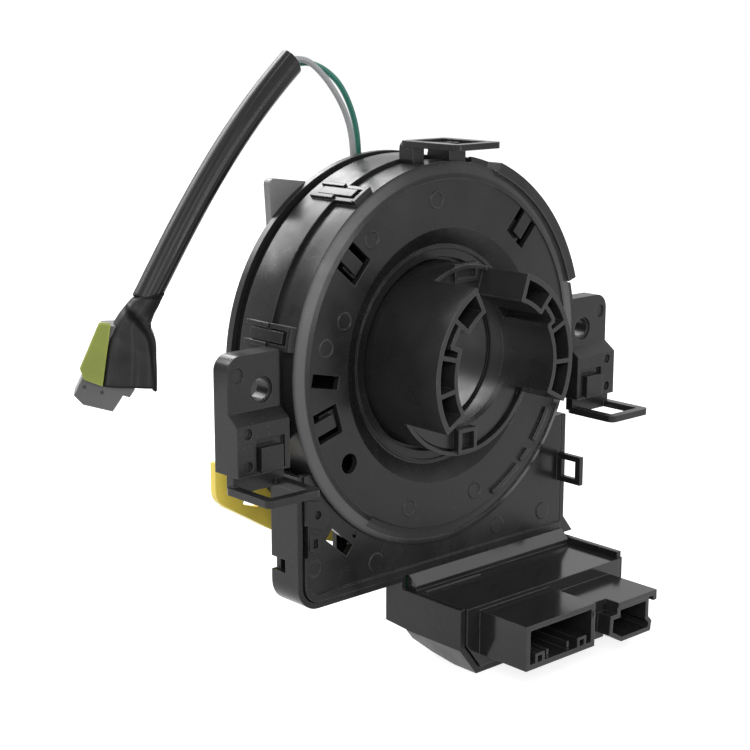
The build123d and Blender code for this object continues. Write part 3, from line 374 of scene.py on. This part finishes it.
# Section = (cos, sin) x (|cos|^n + |sin|^n)^(-1/n) of the half sizes, n being the squareness there.
# The front swells by a narrow ridge along its line and sinks by a wide fold just left of it, both
# bell curves, and by soft dents.
def makeTape(size):
    height = np.linspace(size["profileMm"][0][0], size["profileMm"][-1][0], size["rows"])[:, None]
    angle = turnRow(size["columns"])
    cosine, sine = np.cos(angle), np.sin(angle)
    left, right, deep, square = tapeRows(size, height)
    middle, half = (left + right) / 2, (right - left) / 2
    reach = (np.abs(cosine) ** square + np.abs(sine) ** square) ** (-1.0 / square)
    across = middle + half * reach * cosine
    out = deep / 2 * reach * sine

    front = smoothStep(0.0, size["frontSine"], sine)
    upper = smoothStep(*size["upperMm"], height)
    collar = smoothStep(*size["collarMm"], height)
    gap = lineAt(size["ridgeMm"], height) - across
    foldGap = lineAt(size["foldMm"], height)
    foldWide = size["foldWideMm"] + size["foldWidens"] * foldGap
    ridge = np.exp(-(gap / size["ridgeWideMm"]) ** 2) * front
    ridge = ridge * (size["ridgeFoot"] + (1.0 - size["ridgeFoot"]) * upper)
    foldAndShade = np.exp(-((gap - foldGap) / foldWide) ** 2) * front * upper
    firstWave, secondWave = [wave(rates, across, height) for rates in size["dentWaves"]]
    dents = size["dentsMm"] * firstWave * secondWave * front
    ripple = ramp(size["rippleMm"], height) * wave(size["rippleWave"], across, height)
    swell = size["ridgeHighMm"] * ridge - size["foldDeepMm"] * foldAndShade + dents + ripple
    bulge = size["collarHighMm"] * collar
    outward = np.sqrt((across - middle) ** 2 + out ** 2)
    across = across + (size["sideShare"] * swell + bulge) * (across - middle) / outward
    out = out + (swell + bulge) * out / outward

    foot = smoothStep(*size["footMm"], height)
    rise = height - collar * ramp(size["collarFall"], cosine)
    rise = rise - foot * size["footSlope"] * (across - size["footMiddleMm"])
    rise = rise - foot * ramp(size["cornerHang"], across) * front

    shadeBehind = smoothStep(*size["behindGapMm"], gap) * smoothStep(*size["behindCosine"], cosine)
    dentAcross = (across - size["dentPlaceMm"][0]) / size["dentWideMm"][0]
    dentUp = (height - size["dentPlaceMm"][1]) / size["dentWideMm"][1]
    # Painted shade: in the fold, at both cut edges, along the left edge, behind the ridge and in a soft
    # dent, less on the ridge's crest
    paintedShade = foldAndShade + ramp(size["footShade"], height) + ramp(size["collarShade"], height)
    paintedShade = paintedShade + ramp(size["leftShade"], across - left) * front
    paintedShade = paintedShade + ramp(size["behindShade"], height) * shadeBehind
    paintedShade = paintedShade + size["dentShade"] * np.exp(-dentAcross ** 2 - dentUp ** 2) * front
    paintedShade = paintedShade * (1.0 - size["ridgeClear"] * ridge)

    turn = math.radians(size["turnDeg"])
    acrossWay = np.array([math.cos(turn), -math.sin(turn), 0.0])
    outWay = np.array([-math.sin(turn), -math.cos(turn), 0.0])
    upWay = np.array([0.0, 0.0, 1.0])

    def placed(u, d, h):
        steps = u[..., None] * acrossWay + d[..., None] * outWay + h[..., None] * upWay
        return (np.array(size["middleMm"]) + steps) * mm

    # one row moved in by a distance and up by another
    def inset(row, shrink, lift=0.0):
        u = middle[row] + (across[row] - middle[row]) * (1.0 - shrink / half[row])
        return placed(u, out[row] * (1.0 - 2 * shrink / deep[row]), rise[row] + lift)

    # one row drawn together in its middle
    def closed(row):
        every = np.ones(size["columns"])
        return placed(middle[row] * every, 0.0 * every, rise[row].mean() * every)

    # both ends turn in over the wall and close a little way inside
    wall, within, lip = size["wallMm"], size["insideRows"], size["lipShare"] * size["wallMm"]
    top = [closed(within), inset(within, wall), inset(0, wall), inset(0, lip, size["lipOutMm"])]
    bottom = [inset(-1, lip, -size["lipOutMm"]), inset(-1, wall), inset(-within, wall), closed(-within)]
    # both turned-in ends are painted fully in shade
    endShade = np.ones((4, size["columns"]))
    return gridPiece("tapeWrap", np.concatenate([top, placed(across, out, rise), bottom]),
                     np.concatenate([endShade, paintedShade, endShade]))


tapeWrap = makeTape(tapeSet)
print("stage: sleeve and tape made")


# Small makers of shader nodes. A plain value is set on a socket, and anything else is linked to it.
def feed(tree, socket, source):
    if isinstance(source, (int, float, tuple)):
        socket.default_value = source
    else:
        tree.links.new(source, socket)


def addMath(tree, operation, *sources, clamp=False):
    node = tree.nodes.new("ShaderNodeMath")
    node.operation = operation
    node.use_clamp = clamp
    for socket, source in zip(node.inputs, sources):
        feed(tree, socket, source)
    return node.outputs[0]


# One number from two vectors: their dot product or their distance
def addVectorMath(tree, operation, first, second):
    node = tree.nodes.new("ShaderNodeVectorMath")
    node.operation = operation
    feed(tree, node.inputs[0], first)
    feed(tree, node.inputs[1], second)
    return node.outputs["Value"]


def addMap(tree, value, fromLow, fromHigh, toLow, toHigh):
    node = tree.nodes.new("ShaderNodeMapRange")
    for socket, source in zip(node.inputs, (value, fromLow, fromHigh, toLow, toHigh)):
        feed(tree, socket, source)
    return node.outputs[0]


# 0 at the first value, 1 at the second
def addMask(tree, value, start, full):
    return addMap(tree, value, start, full, 0.0, 1.0)


# First x its share + second x its share
def addBlend(tree, first, firstShare, second, secondShare):
    return addMath(tree, "ADD", addMath(tree, "MULTIPLY", first, firstShare),
                   addMath(tree, "MULTIPLY", second, secondShare))


def addMix(tree, share, first, second):
    node = tree.nodes.new("ShaderNodeMix")
    node.data_type = "RGBA"
    for index, source in ((0, share), (6, first), (7, second)):
        feed(tree, node.inputs[index], source)
    return node.outputs[2]


def addNoise(tree, vector, scale, detail, rough=0.5):
    node = tree.nodes.new("ShaderNodeTexNoise")
    for name, source in (("Vector", vector), ("Scale", scale), ("Detail", detail), ("Roughness", rough)):
        feed(tree, node.inputs[name], source)
    return node.outputs[0]


def addBump(tree, height, strength, distance):
    node = tree.nodes.new("ShaderNodeBump")
    for name, source in (("Height", height), ("Strength", strength), ("Distance", distance)):
        feed(tree, node.inputs[name], source)
    return node


def objectPlace(tree):
    return tree.nodes.new("ShaderNodeTexCoord").outputs["Object"]


def splitPlace(tree, vector):
    node = tree.nodes.new("ShaderNodeSeparateXYZ")
    tree.links.new(vector, node.inputs[0])
    return node.outputs


# Shader groups shared by the finishes
def newGroup(name, inputs, outputs):
    group = bpy.data.node_groups.new(name, "ShaderNodeTree")
    for socketName, kind, value in inputs:
        socket = group.interface.new_socket(socketName, in_out="INPUT", socket_type=kind)
        socket.default_value = value
    for socketName, kind in outputs:
        group.interface.new_socket(socketName, in_out="OUTPUT", socket_type=kind)
    return group, group.nodes.new("NodeGroupInput").outputs, group.nodes.new("NodeGroupOutput").inputs


skinOutputs = [
    ("Colour", "NodeSocketColor"), ("Roughness", "NodeSocketFloat"), ("Normal", "NodeSocketVector"),
]

# Moulded plastic: fine grain, broad tone and gloss changes, and soft edges painted paler, partly as wear and
# partly as painted highlight
mouldedSet = {
    "inputs": [
        ("Colour", "NodeSocketColor", (0.02, 0.02, 0.02, 1)),
        ("Edge Wear And Highlight Colour", "NodeSocketColor", (0.1, 0.1, 0.1, 1)),
        ("Edge Amount", "NodeSocketFloat", 0.5), ("Edge Radius", "NodeSocketFloat", 0.00035),
        ("Grain Scale", "NodeSocketFloat", 2200.0), ("Grain Depth", "NodeSocketFloat", 0.2),
        ("Tone Spread", "NodeSocketFloat", 0.25), ("Rough Low", "NodeSocketFloat", 0.3),
        ("Rough High", "NodeSocketFloat", 0.45), ("Dust", "NodeSocketFloat", 0.15),
    ],
    "grainDetail": 2.0,
    # scale, detail and, where it differs from a half, roughness
    "broadNoise": (46.0, 3.0),
    "flowNoise": (190.0, 2.0, 0.6),
    "speckNoise": (2100.0, 0.0),
    "edgeSamples": 6,
    "edgeMatch": (0.995, 0.86),     # how far the rounded normal agrees with the face's: flat, full edge
    "edgeLeast": 0.25,              # share of the paler edge, wear and painted highlight, left in its faintest stretches
    # the part of a noise's range that is used
    "midRange": (0.35, 0.65),
    "toneRange": (0.3, 0.7),
    "speckRange": (0.76, 0.82),
    "dustColour": (0.35, 0.35, 0.34, 1),
    "broadShare": 0.6,
    "grainHigh": 0.00004,
}


def makeMouldedSkin(size):
    group, given, result = newGroup("mouldedSkin", size["inputs"], skinOutputs)
    place = objectPlace(group)
    grain = addNoise(group, place, given["Grain Scale"], size["grainDetail"])
    broad = addNoise(group, place, *size["broadNoise"])
    flow = addNoise(group, place, *size["flowNoise"])
    speck = addNoise(group, place, *size["speckNoise"])

    rounded = group.nodes.new("ShaderNodeBevel")
    rounded.samples = size["edgeSamples"]
    group.links.new(given["Edge Radius"], rounded.inputs["Radius"])
    face = group.nodes.new("ShaderNodeNewGeometry").outputs["Normal"]
    match = addVectorMath(group, "DOT_PRODUCT", rounded.outputs[0], face)
    wornAndHighlit = addMath(group, "MULTIPLY", addMask(group, match, *size["edgeMatch"]),
                   addMap(group, flow, *size["midRange"], size["edgeLeast"], 1.0))
    wornAndHighlit = addMath(group, "MULTIPLY", wornAndHighlit, given["Edge Amount"], clamp=True)

    tone = addMap(group, broad, *size["toneRange"], -1.0, 1.0)
    tone = addMath(group, "ADD", 1.0, addMath(group, "MULTIPLY", tone, given["Tone Spread"]))
    toned = group.nodes.new("ShaderNodeVectorMath")
    toned.operation = "SCALE"
    group.links.new(given["Colour"], toned.inputs[0])
    group.links.new(tone, toned.inputs["Scale"])
    dusty = addMath(group, "MULTIPLY", addMask(group, speck, *size["speckRange"]), given["Dust"])
    # paler edges: partly wear, partly a painted highlight
    colour = addMix(group, wornAndHighlit, toned.outputs[0], given["Edge Wear And Highlight Colour"])
    group.links.new(addMix(group, dusty, colour, size["dustColour"]), result["Colour"])

    gloss = addBlend(group, broad, size["broadShare"], flow, 1.0 - size["broadShare"])
    rough = addMap(group, gloss, *size["midRange"], given["Rough Low"], given["Rough High"])
    group.links.new(rough, result["Roughness"])
    bump = addBump(group, grain, given["Grain Depth"], size["grainHigh"])
    group.links.new(rounded.outputs[0], bump.inputs["Normal"])
    group.links.new(bump.outputs[0], result["Normal"])
    return group


# Thin coated cloth: a fine weave across the piece's own UV, long paler streaks painted as highlights, and
# painted shade in its folds and at its ends
clothSet = {
    "inputs": [
        ("Colour", "NodeSocketColor", (0.02, 0.02, 0.02, 1)),
        ("Highlight Streak Colour", "NodeSocketColor", (0.1, 0.1, 0.1, 1)),
        ("Painted Shade Colour", "NodeSocketColor", (0.002, 0.002, 0.002, 1)),
        ("Threads Around", "NodeSocketFloat", 60.0), ("Threads Along", "NodeSocketFloat", 1800.0),
        ("Weave Depth", "NodeSocketFloat", 0.3), ("Highlight Streaks", "NodeSocketFloat", 0.3),
        ("Rough Low", "NodeSocketFloat", 0.35), ("Rough High", "NodeSocketFloat", 0.6),
    ],
    "broadNoise": (120.0, 3.0),     # scale, detail
    "streakNoise": (1.0, 3.0),
    "streaksAround": 34.0,
    "streaksAlong": 22.0,
    "streakRange": (0.5, 0.75),
    "glossRange": (0.35, 0.65),
    "streakShare": 0.5,
    "foldRough": 0.35,
    "weaveHigh": 0.3,
    "streakHigh": 0.6,
    "bumpHigh": 0.00005,
}


def makeClothSkin(size):
    group, given, result = newGroup("clothSkin", size["inputs"], skinOutputs)
    uv = splitPlace(group, group.nodes.new("ShaderNodeTexCoord").outputs["UV"])
    threads = []
    for way, count in ((uv[0], given["Threads Around"]), (uv[1], given["Threads Along"])):
        turns = addMath(group, "MULTIPLY", way, count)
        threads.append(addMath(group, "SINE", addMath(group, "MULTIPLY", turns, 2 * math.pi)))
    weave = addMath(group, "MULTIPLY", *threads)
    stretched = group.nodes.new("ShaderNodeCombineXYZ")
    for index, rate in ((0, size["streaksAround"]), (1, size["streaksAlong"])):
        group.links.new(addMath(group, "MULTIPLY", uv[index], rate), stretched.inputs[index])
    streak = addNoise(group, stretched.outputs[0], *size["streakNoise"])
    broad = addNoise(group, objectPlace(group), *size["broadNoise"])
    # painted shade kept on the mesh, for its folds, creases and ends
    shadeReader = group.nodes.new("ShaderNodeAttribute")
    shadeReader.attribute_name = "foldAndShade"
    foldAndShade = shadeReader.outputs["Fac"]

    # paler streaks along the cloth are painted highlights
    paintedHighlight = addMath(group, "MULTIPLY", addMask(group, streak, *size["streakRange"]), given["Highlight Streaks"])
    colour = addMix(group, paintedHighlight, given["Colour"], given["Highlight Streak Colour"])
    group.links.new(addMix(group, foldAndShade, colour, given["Painted Shade Colour"]), result["Colour"])

    gloss = addBlend(group, streak, size["streakShare"], broad, 1.0 - size["streakShare"])
    rough = addMap(group, gloss, *size["glossRange"], given["Rough Low"], given["Rough High"])
    folded = addMath(group, "MULTIPLY", foldAndShade, size["foldRough"])
    group.links.new(addMath(group, "ADD", rough, folded, clamp=True), result["Roughness"])
    height = addBlend(group, weave, size["weaveHigh"], streak, size["streakHigh"])
    bump = addBump(group, height, given["Weave Depth"], size["bumpHigh"])
    group.links.new(bump.outputs[0], result["Normal"])
    return group


mouldedSkin = makeMouldedSkin(mouldedSet)
clothSkin = makeClothSkin(clothSet)
print("stage: shader groups made")


def newMaterial(name):
    material = bpy.data.materials.new(name)
    material.use_nodes = True
    return material, material.node_tree, material.node_tree.nodes["Principled BSDF"]


# Material with one shader fed by a skin group; plain holds the shader's own fixed values
def skinMaterial(name, group, values, plain):
    material, tree, shader = newMaterial(name)
    skin = tree.nodes.new("ShaderNodeGroup")
    skin.node_tree = group
    for key, value in values.items():
        skin.inputs[key].default_value = value
    for key, value in plain.items():
        shader.inputs[key].default_value = value
    tree.links.new(skin.outputs["Colour"], shader.inputs["Base Color"])
    tree.links.new(skin.outputs["Roughness"], shader.inputs["Roughness"])
    tree.links.new(skin.outputs["Normal"], shader.inputs["Normal"])
    material.diffuse_color = values["Colour"]
    return material


# Each finish: its skin's values and the shader's own plain values
finishes = {
    "case_black": (
        {"Colour": (0.014, 0.014, 0.0143, 1), "Edge Wear And Highlight Colour": (0.085, 0.085, 0.088, 1), "Edge Amount": 0.75,
         "Edge Radius": 0.00035, "Grain Scale": 2600.0, "Grain Depth": 0.16, "Tone Spread": 0.3,
         "Rough Low": 0.20, "Rough High": 0.38, "Dust": 0.08}, {"Specular IOR Level": 0.23}),
    "socket_black": (
        {"Colour": (0.017, 0.017, 0.0174, 1), "Edge Wear And Highlight Colour": (0.10, 0.10, 0.102, 1), "Edge Amount": 0.8,
         "Edge Radius": 0.0003, "Grain Scale": 900.0, "Grain Depth": 0.04, "Tone Spread": 0.2,
         "Rough Low": 0.10, "Rough High": 0.18, "Dust": 0.06}, {"Specular IOR Level": 0.34}),
    "rotor_black": (
        {"Colour": (0.019, 0.019, 0.0193, 1), "Edge Wear And Highlight Colour": (0.10, 0.10, 0.10, 1), "Edge Amount": 0.8,
         "Edge Radius": 0.0003, "Grain Scale": 2400.0, "Grain Depth": 0.12, "Tone Spread": 0.25,
         "Rough Low": 0.24, "Rough High": 0.40, "Dust": 0.06}, {"Specular IOR Level": 0.28}),
    "gear_natural": (
        {"Colour": (0.74, 0.71, 0.60, 1), "Edge Wear And Highlight Colour": (0.85, 0.83, 0.75, 1), "Edge Amount": 0.4,
         "Grain Scale": 1800.0, "Grain Depth": 0.1, "Tone Spread": 0.06, "Rough Low": 0.3,
         "Rough High": 0.42, "Dust": 0.0}, {}),
    "lead_block": (
        {"Colour": (0.05, 0.05, 0.055, 1), "Edge Wear And Highlight Colour": (0.12, 0.12, 0.12, 1), "Grain Depth": 0.15,
         "Rough Low": 0.35, "Rough High": 0.5}, {}),
    "chip_black": (
        {"Colour": (0.015, 0.015, 0.016, 1), "Edge Wear And Highlight Colour": (0.08, 0.08, 0.08, 1), "Grain Scale": 4000.0,
         "Grain Depth": 0.5, "Edge Radius": 0.0001, "Rough Low": 0.5, "Rough High": 0.65}, {}),
    "terminal_tin": (
        {"Colour": (0.85, 0.85, 0.83, 1), "Edge Wear And Highlight Colour": (0.97, 0.97, 0.95, 1), "Edge Radius": 0.0001,
         "Grain Scale": 3000.0, "Grain Depth": 0.1, "Tone Spread": 0.08, "Rough Low": 0.22,
         "Rough High": 0.36, "Dust": 0.0}, {"Metallic": 0.45}),
    "magnet_dark": (
        {"Colour": (0.13, 0.13, 0.14, 1), "Edge Wear And Highlight Colour": (0.4, 0.4, 0.4, 1), "Edge Radius": 0.0002,
         "Grain Scale": 3500.0, "Grain Depth": 0.4, "Rough Low": 0.4,
         "Rough High": 0.55}, {"Metallic": 1.0}),
    "lock_yellow": (
        {"Colour": (0.84, 0.66, 0.10, 1), "Edge Wear And Highlight Colour": (0.90, 0.78, 0.30, 1), "Edge Amount": 0.6,
         "Grain Scale": 2000.0, "Grain Depth": 0.15, "Tone Spread": 0.12, "Rough Low": 0.3,
         "Rough High": 0.42, "Dust": 0.05}, {}),
    "plug_grey": (
        {"Colour": (0.060, 0.060, 0.062, 1), "Edge Wear And Highlight Colour": (0.42, 0.42, 0.42, 1), "Edge Amount": 0.8,
         "Edge Radius": 0.0006, "Grain Scale": 2000.0, "Grain Depth": 0.2, "Tone Spread": 0.3,
         "Rough Low": 0.30, "Rough High": 0.46, "Dust": 0.1}, {}),
    "plug_lime": (
        {"Colour": (0.175, 0.208, 0.024, 1), "Edge Wear And Highlight Colour": (0.50, 0.56, 0.12, 1), "Edge Amount": 0.9,
         "Edge Radius": 0.0008, "Grain Scale": 1500.0, "Grain Depth": 0.1, "Tone Spread": 0.22,
         "Rough Low": 0.22, "Rough High": 0.36, "Dust": 0.0}, {}),
    "wire_white": (
        {"Colour": (0.28, 0.285, 0.29, 1), "Edge Wear And Highlight Colour": (0.6, 0.6, 0.6, 1), "Edge Amount": 0.0,
         "Edge Radius": 0.00005, "Grain Scale": 900.0, "Grain Depth": 0.03, "Tone Spread": 0.12,
         "Rough Low": 0.30, "Rough High": 0.42, "Dust": 0.0}, {}),
    "wire_green": (
        {"Colour": (0.012, 0.13, 0.092, 1), "Edge Wear And Highlight Colour": (0.05, 0.3, 0.2, 1), "Edge Amount": 0.0,
         "Edge Radius": 0.00005, "Grain Scale": 900.0, "Grain Depth": 0.03, "Tone Spread": 0.15,
         "Rough Low": 0.28, "Rough High": 0.4, "Dust": 0.0}, {}),
}
clothFinishes = {
    "sleeve_cloth": (
        {"Colour": (0.007, 0.007, 0.0073, 1), "Highlight Streak Colour": (0.03, 0.03, 0.031, 1), "Threads Around": 48.0,
         "Threads Along": 1900.0, "Weave Depth": 0.25, "Highlight Streaks": 0.4, "Rough Low": 0.26,
         "Rough High": 0.42}, {"Specular IOR Level": 0.28}),
    "tape_cloth": (
        {"Colour": (0.016, 0.016, 0.0165, 1), "Highlight Streak Colour": (0.07, 0.07, 0.071, 1), "Threads Around": 90.0,
         "Threads Along": 2200.0, "Weave Depth": 0.25, "Highlight Streaks": 0.4, "Rough Low": 0.40,
         "Rough High": 0.58}, {"Specular IOR Level": 0.18}),
}
# The wheel-side connector gets a paler copy of the hub's plastic: painted light, for the light that falls on
# it
litRotorValues = {"Colour": (0.18, 0.18, 0.184, 1), "Rough Low": 0.4, "Rough High": 0.6}

materials = {name: skinMaterial(name, mouldedSkin, *both) for name, both in finishes.items()}
materials.update({name: skinMaterial(name, clothSkin, *both) for name, both in clothFinishes.items()})
litRotorPlastic = skinMaterial("rotor_painted_light", mouldedSkin, {**finishes["rotor_black"][0], **litRotorValues}, {})


# Where a finish changes tone: a painted highlight in a paler ring at the rim of the round face, and painted
# shade in the plug's two small holes
markSet = {
    "ringInner": 0.0474,
    "ringOuter": 0.0502,
    "ringSoft": 0.0004,
    "ringDepth": -0.0128,
    "ringFade": (-0.0120, -0.0250),     # the ring is faint right of the first place, full left of the second
    "ringFaint": 0.3,
    "ringHighlightColour": (0.085, 0.085, 0.088, 1),
    "holes": [(-0.08710, 0.02212, -0.00102), (-0.08364, 0.01987, -0.00254)],
    "holeRadius": 0.00055,
    "holeSharp": 0.8,                   # share of the radius at which a hole is fully dark
    "holeShadeColour": (0.004, 0.004, 0.004, 1),
}


# Mixes a colour into a finish's base colour by a mask of 0 to 1
def tintWhere(tree, mask, colour):
    target = tree.nodes["Principled BSDF"].inputs["Base Color"]
    tree.links.new(addMix(tree, mask, target.links[0].from_socket, colour), target)


# Mask = 1 between two distances from the hub's axis, in front of a depth, and fainter to the right: a
# painted highlight on the rim's band
def highlightRingMask(tree, size):
    right, axial, up = splitPlace(tree, objectPlace(tree))
    squares = [addMath(tree, "MULTIPLY", way, way) for way in (right, up)]
    radius = addMath(tree, "SQRT", addMath(tree, "ADD", *squares))
    soft = size["ringSoft"]
    rise = addMask(tree, radius, size["ringInner"], size["ringInner"] + soft)
    fall = addMap(tree, radius, size["ringOuter"], size["ringOuter"] + soft, 1.0, 0.0)
    front = addMask(tree, axial, size["ringDepth"], size["ringDepth"] - soft)
    paintedLight = addMap(tree, right, *size["ringFade"], size["ringFaint"], 1.0)
    band = addMath(tree, "MULTIPLY", rise, fall)
    return addMath(tree, "MULTIPLY", band, addMath(tree, "MULTIPLY", front, paintedLight))


# Mask = 1 within a radius of either of the plug's two small holes, where the shade inside them is painted
# dark
def holeShadeMask(tree, size):
    mask = 0.0
    place = objectPlace(tree)
    for centre in size["holes"]:
        away = addVectorMath(tree, "DISTANCE", place, centre)
        spot = addMask(tree, away, size["holeRadius"], size["holeSharp"] * size["holeRadius"])
        mask = addMath(tree, "MAXIMUM", mask, spot)
    return mask


for slotName, makeMask, colour in (("case_black", highlightRingMask, markSet["ringHighlightColour"]),
                                   ("plug_grey", holeShadeMask, markSet["holeShadeColour"])):
    slotTree = materials[slotName].node_tree
    tintWhere(slotTree, makeMask(slotTree, markSet), colour)


# Amber film with thin dark conductors: colour steps with a sine of the place along the axis
filmSet = {
    "pitch": 0.0011,
    "lineFrom": 0.1,
    "lineFull": 0.4,
    "amber": (0.55, 0.24, 0.05, 1),
    "conductor": (0.30, 0.10, 0.025, 1),
    "rough": (0.18, 0.28),
}


def makeRibbonFilm(size):
    material, tree, shader = newMaterial("ribbon_film")
    axial = splitPlace(tree, objectPlace(tree))[1]
    line = addMath(tree, "SINE", addMath(tree, "MULTIPLY", axial, 2 * math.pi / size["pitch"]))
    stripe = addMask(tree, line, size["lineFrom"], size["lineFull"])
    tree.links.new(addMix(tree, stripe, size["amber"], size["conductor"]), shader.inputs["Base Color"])
    tree.links.new(addMap(tree, stripe, 0.0, 1.0, *size["rough"]), shader.inputs["Roughness"])
    return material


# Solder mask over copper runs: stepped lines from a brick pattern, with plated pads
boardSet = {
    "turnDeg": 90.0,
    "runScale": 260.0,
    "runGap": 0.05,
    "padScale": 330.0,
    "padEdge": (0.16, 0.12),
    "plainMask": (0.012, 0.12, 0.05, 1),
    "maskOnCopper": (0.03, 0.22, 0.09, 1),
    "plating": (0.7, 0.68, 0.6, 1),
    "rough": (0.32, 0.25),
}


def makeBoardGreen(size):
    material, tree, shader = newMaterial("board_green")
    turned = tree.nodes.new("ShaderNodeMapping")
    turned.inputs["Rotation"].default_value = (math.radians(size["turnDeg"]), 0.0, 0.0)
    tree.links.new(objectPlace(tree), turned.inputs["Vector"])
    runs = tree.nodes.new("ShaderNodeTexBrick")
    runs.inputs["Scale"].default_value = size["runScale"]
    runs.inputs["Mortar Size"].default_value = size["runGap"]
    tree.links.new(turned.outputs[0], runs.inputs["Vector"])
    pads = tree.nodes.new("ShaderNodeTexVoronoi")
    pads.inputs["Scale"].default_value = size["padScale"]
    tree.links.new(turned.outputs[0], pads.inputs["Vector"])
    pad = addMask(tree, pads.outputs["Distance"], *size["padEdge"])
    green = addMix(tree, runs.outputs["Fac"], size["plainMask"], size["maskOnCopper"])
    tree.links.new(addMix(tree, pad, green, size["plating"]), shader.inputs["Base Color"])
    tree.links.new(addMap(tree, pad, 0.0, 1.0, *size["rough"]), shader.inputs["Roughness"])
    return material


materials["ribbon_film"] = makeRibbonFilm(filmSet)
materials["board_green"] = makeBoardGreen(boardSet)

for part in frame["record"]["subparts"]:
    mesh = nodes[part["node"]].data
    # the wheel-side connector takes the paler copy, which paints light on it
    paintedLight = part["node"] == "wheel_connector"
    mesh.materials.clear()
    mesh.materials.append(litRotorPlastic if paintedLight else materials[part["material_slot"]])
for piece, slotName in ((whiteWire, "wire_white"), (greenWire, "wire_green"),
                        (leadSleeve, "sleeve_cloth"), (tapeWrap, "tape_cloth")):
    piece.data.materials.append(materials[slotName])
print("stage: finishes set")


# Pieces ride with the turning hub and stand for their plain solids
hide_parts("white_wire")
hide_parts("green_wire")
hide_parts("lead_sleeve")
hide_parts("tape_wrap")
for piece in (whiteWire, greenWire, leadSleeve, tapeWrap):
    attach(piece, "rotor")


# Pale floor, white surroundings and soft lamps
studioSet = {
    "floorWide": 6.0,
    "floorLevel": -0.0803,
    "floorColour": (0.48, 0.48, 0.48, 1),
    "floorRough": 0.9,
    "floorGlow": 0.81,          # what the camera and reflections see on top of the lit floor
    "white": (1, 1, 1, 1),
    "worldLight": 0.48,         # what the surroundings give to the object; the camera sees 1
    # place, width, height, watts; each lamp aims at the origin
    "lamps": {
        "frontBox": ((0.25, -1.00, 0.10), 0.26, 0.30, 2.6),
        "keyBox": ((-0.80, -0.78, 0.58), 0.55, 0.60, 7.5),
        "topBox": ((-0.05, 0.80, 0.74), 1.10, 0.50, 16.0),
        "rightBox": ((0.75, -0.34, 0.72), 0.45, 0.45, 0.9),
    },
}


# 1 for rays from the camera, from glossy surfaces and through glass, else 0
def cameraLikeRays(tree):
    rays = tree.nodes.new("ShaderNodeLightPath")
    seen = addMath(tree, "MAXIMUM", rays.outputs["Is Camera Ray"], rays.outputs["Is Glossy Ray"])
    return addMath(tree, "MAXIMUM", seen, rays.outputs["Is Transmission Ray"])


def makeSurroundings(size):
    world = bpy.data.worlds.new("surroundings")
    world.use_nodes = True
    tree = world.node_tree
    back = tree.nodes["Background"]
    back.inputs["Color"].default_value = size["white"]
    level = addMap(tree, cameraLikeRays(tree), 0.0, 1.0, size["worldLight"], 1.0)
    tree.links.new(level, back.inputs["Strength"])
    scene.world = world


def makeFloor(size):
    half = size["floorWide"] / 2
    corners = np.array([(-half, -half), (half, -half), (half, half), (-half, half)])
    places = np.column_stack([corners, np.full(4, size["floorLevel"])])
    mesh = bpy.data.meshes.new("floor")
    mesh.from_pydata(places.tolist(), [], [(0, 1, 2, 3)])
    floor = bpy.data.objects.new("floor", mesh)
    scene.collection.objects.link(floor)
    material, tree, shader = newMaterial("floorWhite")
    shader.inputs["Base Color"].default_value = size["floorColour"]
    shader.inputs["Roughness"].default_value = size["floorRough"]
    shader.inputs["Specular IOR Level"].default_value = 0.0
    shader.inputs["Emission Color"].default_value = size["white"]
    glow = addMath(tree, "MULTIPLY", cameraLikeRays(tree), size["floorGlow"])
    tree.links.new(glow, shader.inputs["Emission Strength"])
    mesh.materials.append(material)


def makeLamp(name, place, wide, high, watts):
    data = bpy.data.lights.new(name, "AREA")
    data.shape = "RECTANGLE"
    data.size, data.size_y = wide, high
    data.energy = watts
    lamp = bpy.data.objects.new(name, data)
    lamp.location = place
    lamp.rotation_mode = "QUATERNION"
    lamp.rotation_quaternion = (-Vector(place)).to_track_quat("-Z", "Y")
    scene.collection.objects.link(lamp)


makeSurroundings(studioSet)
makeFloor(studioSet)
for name, values in studioSet["lamps"].items():
    makeLamp(name, *values)
print("stage: studio set")
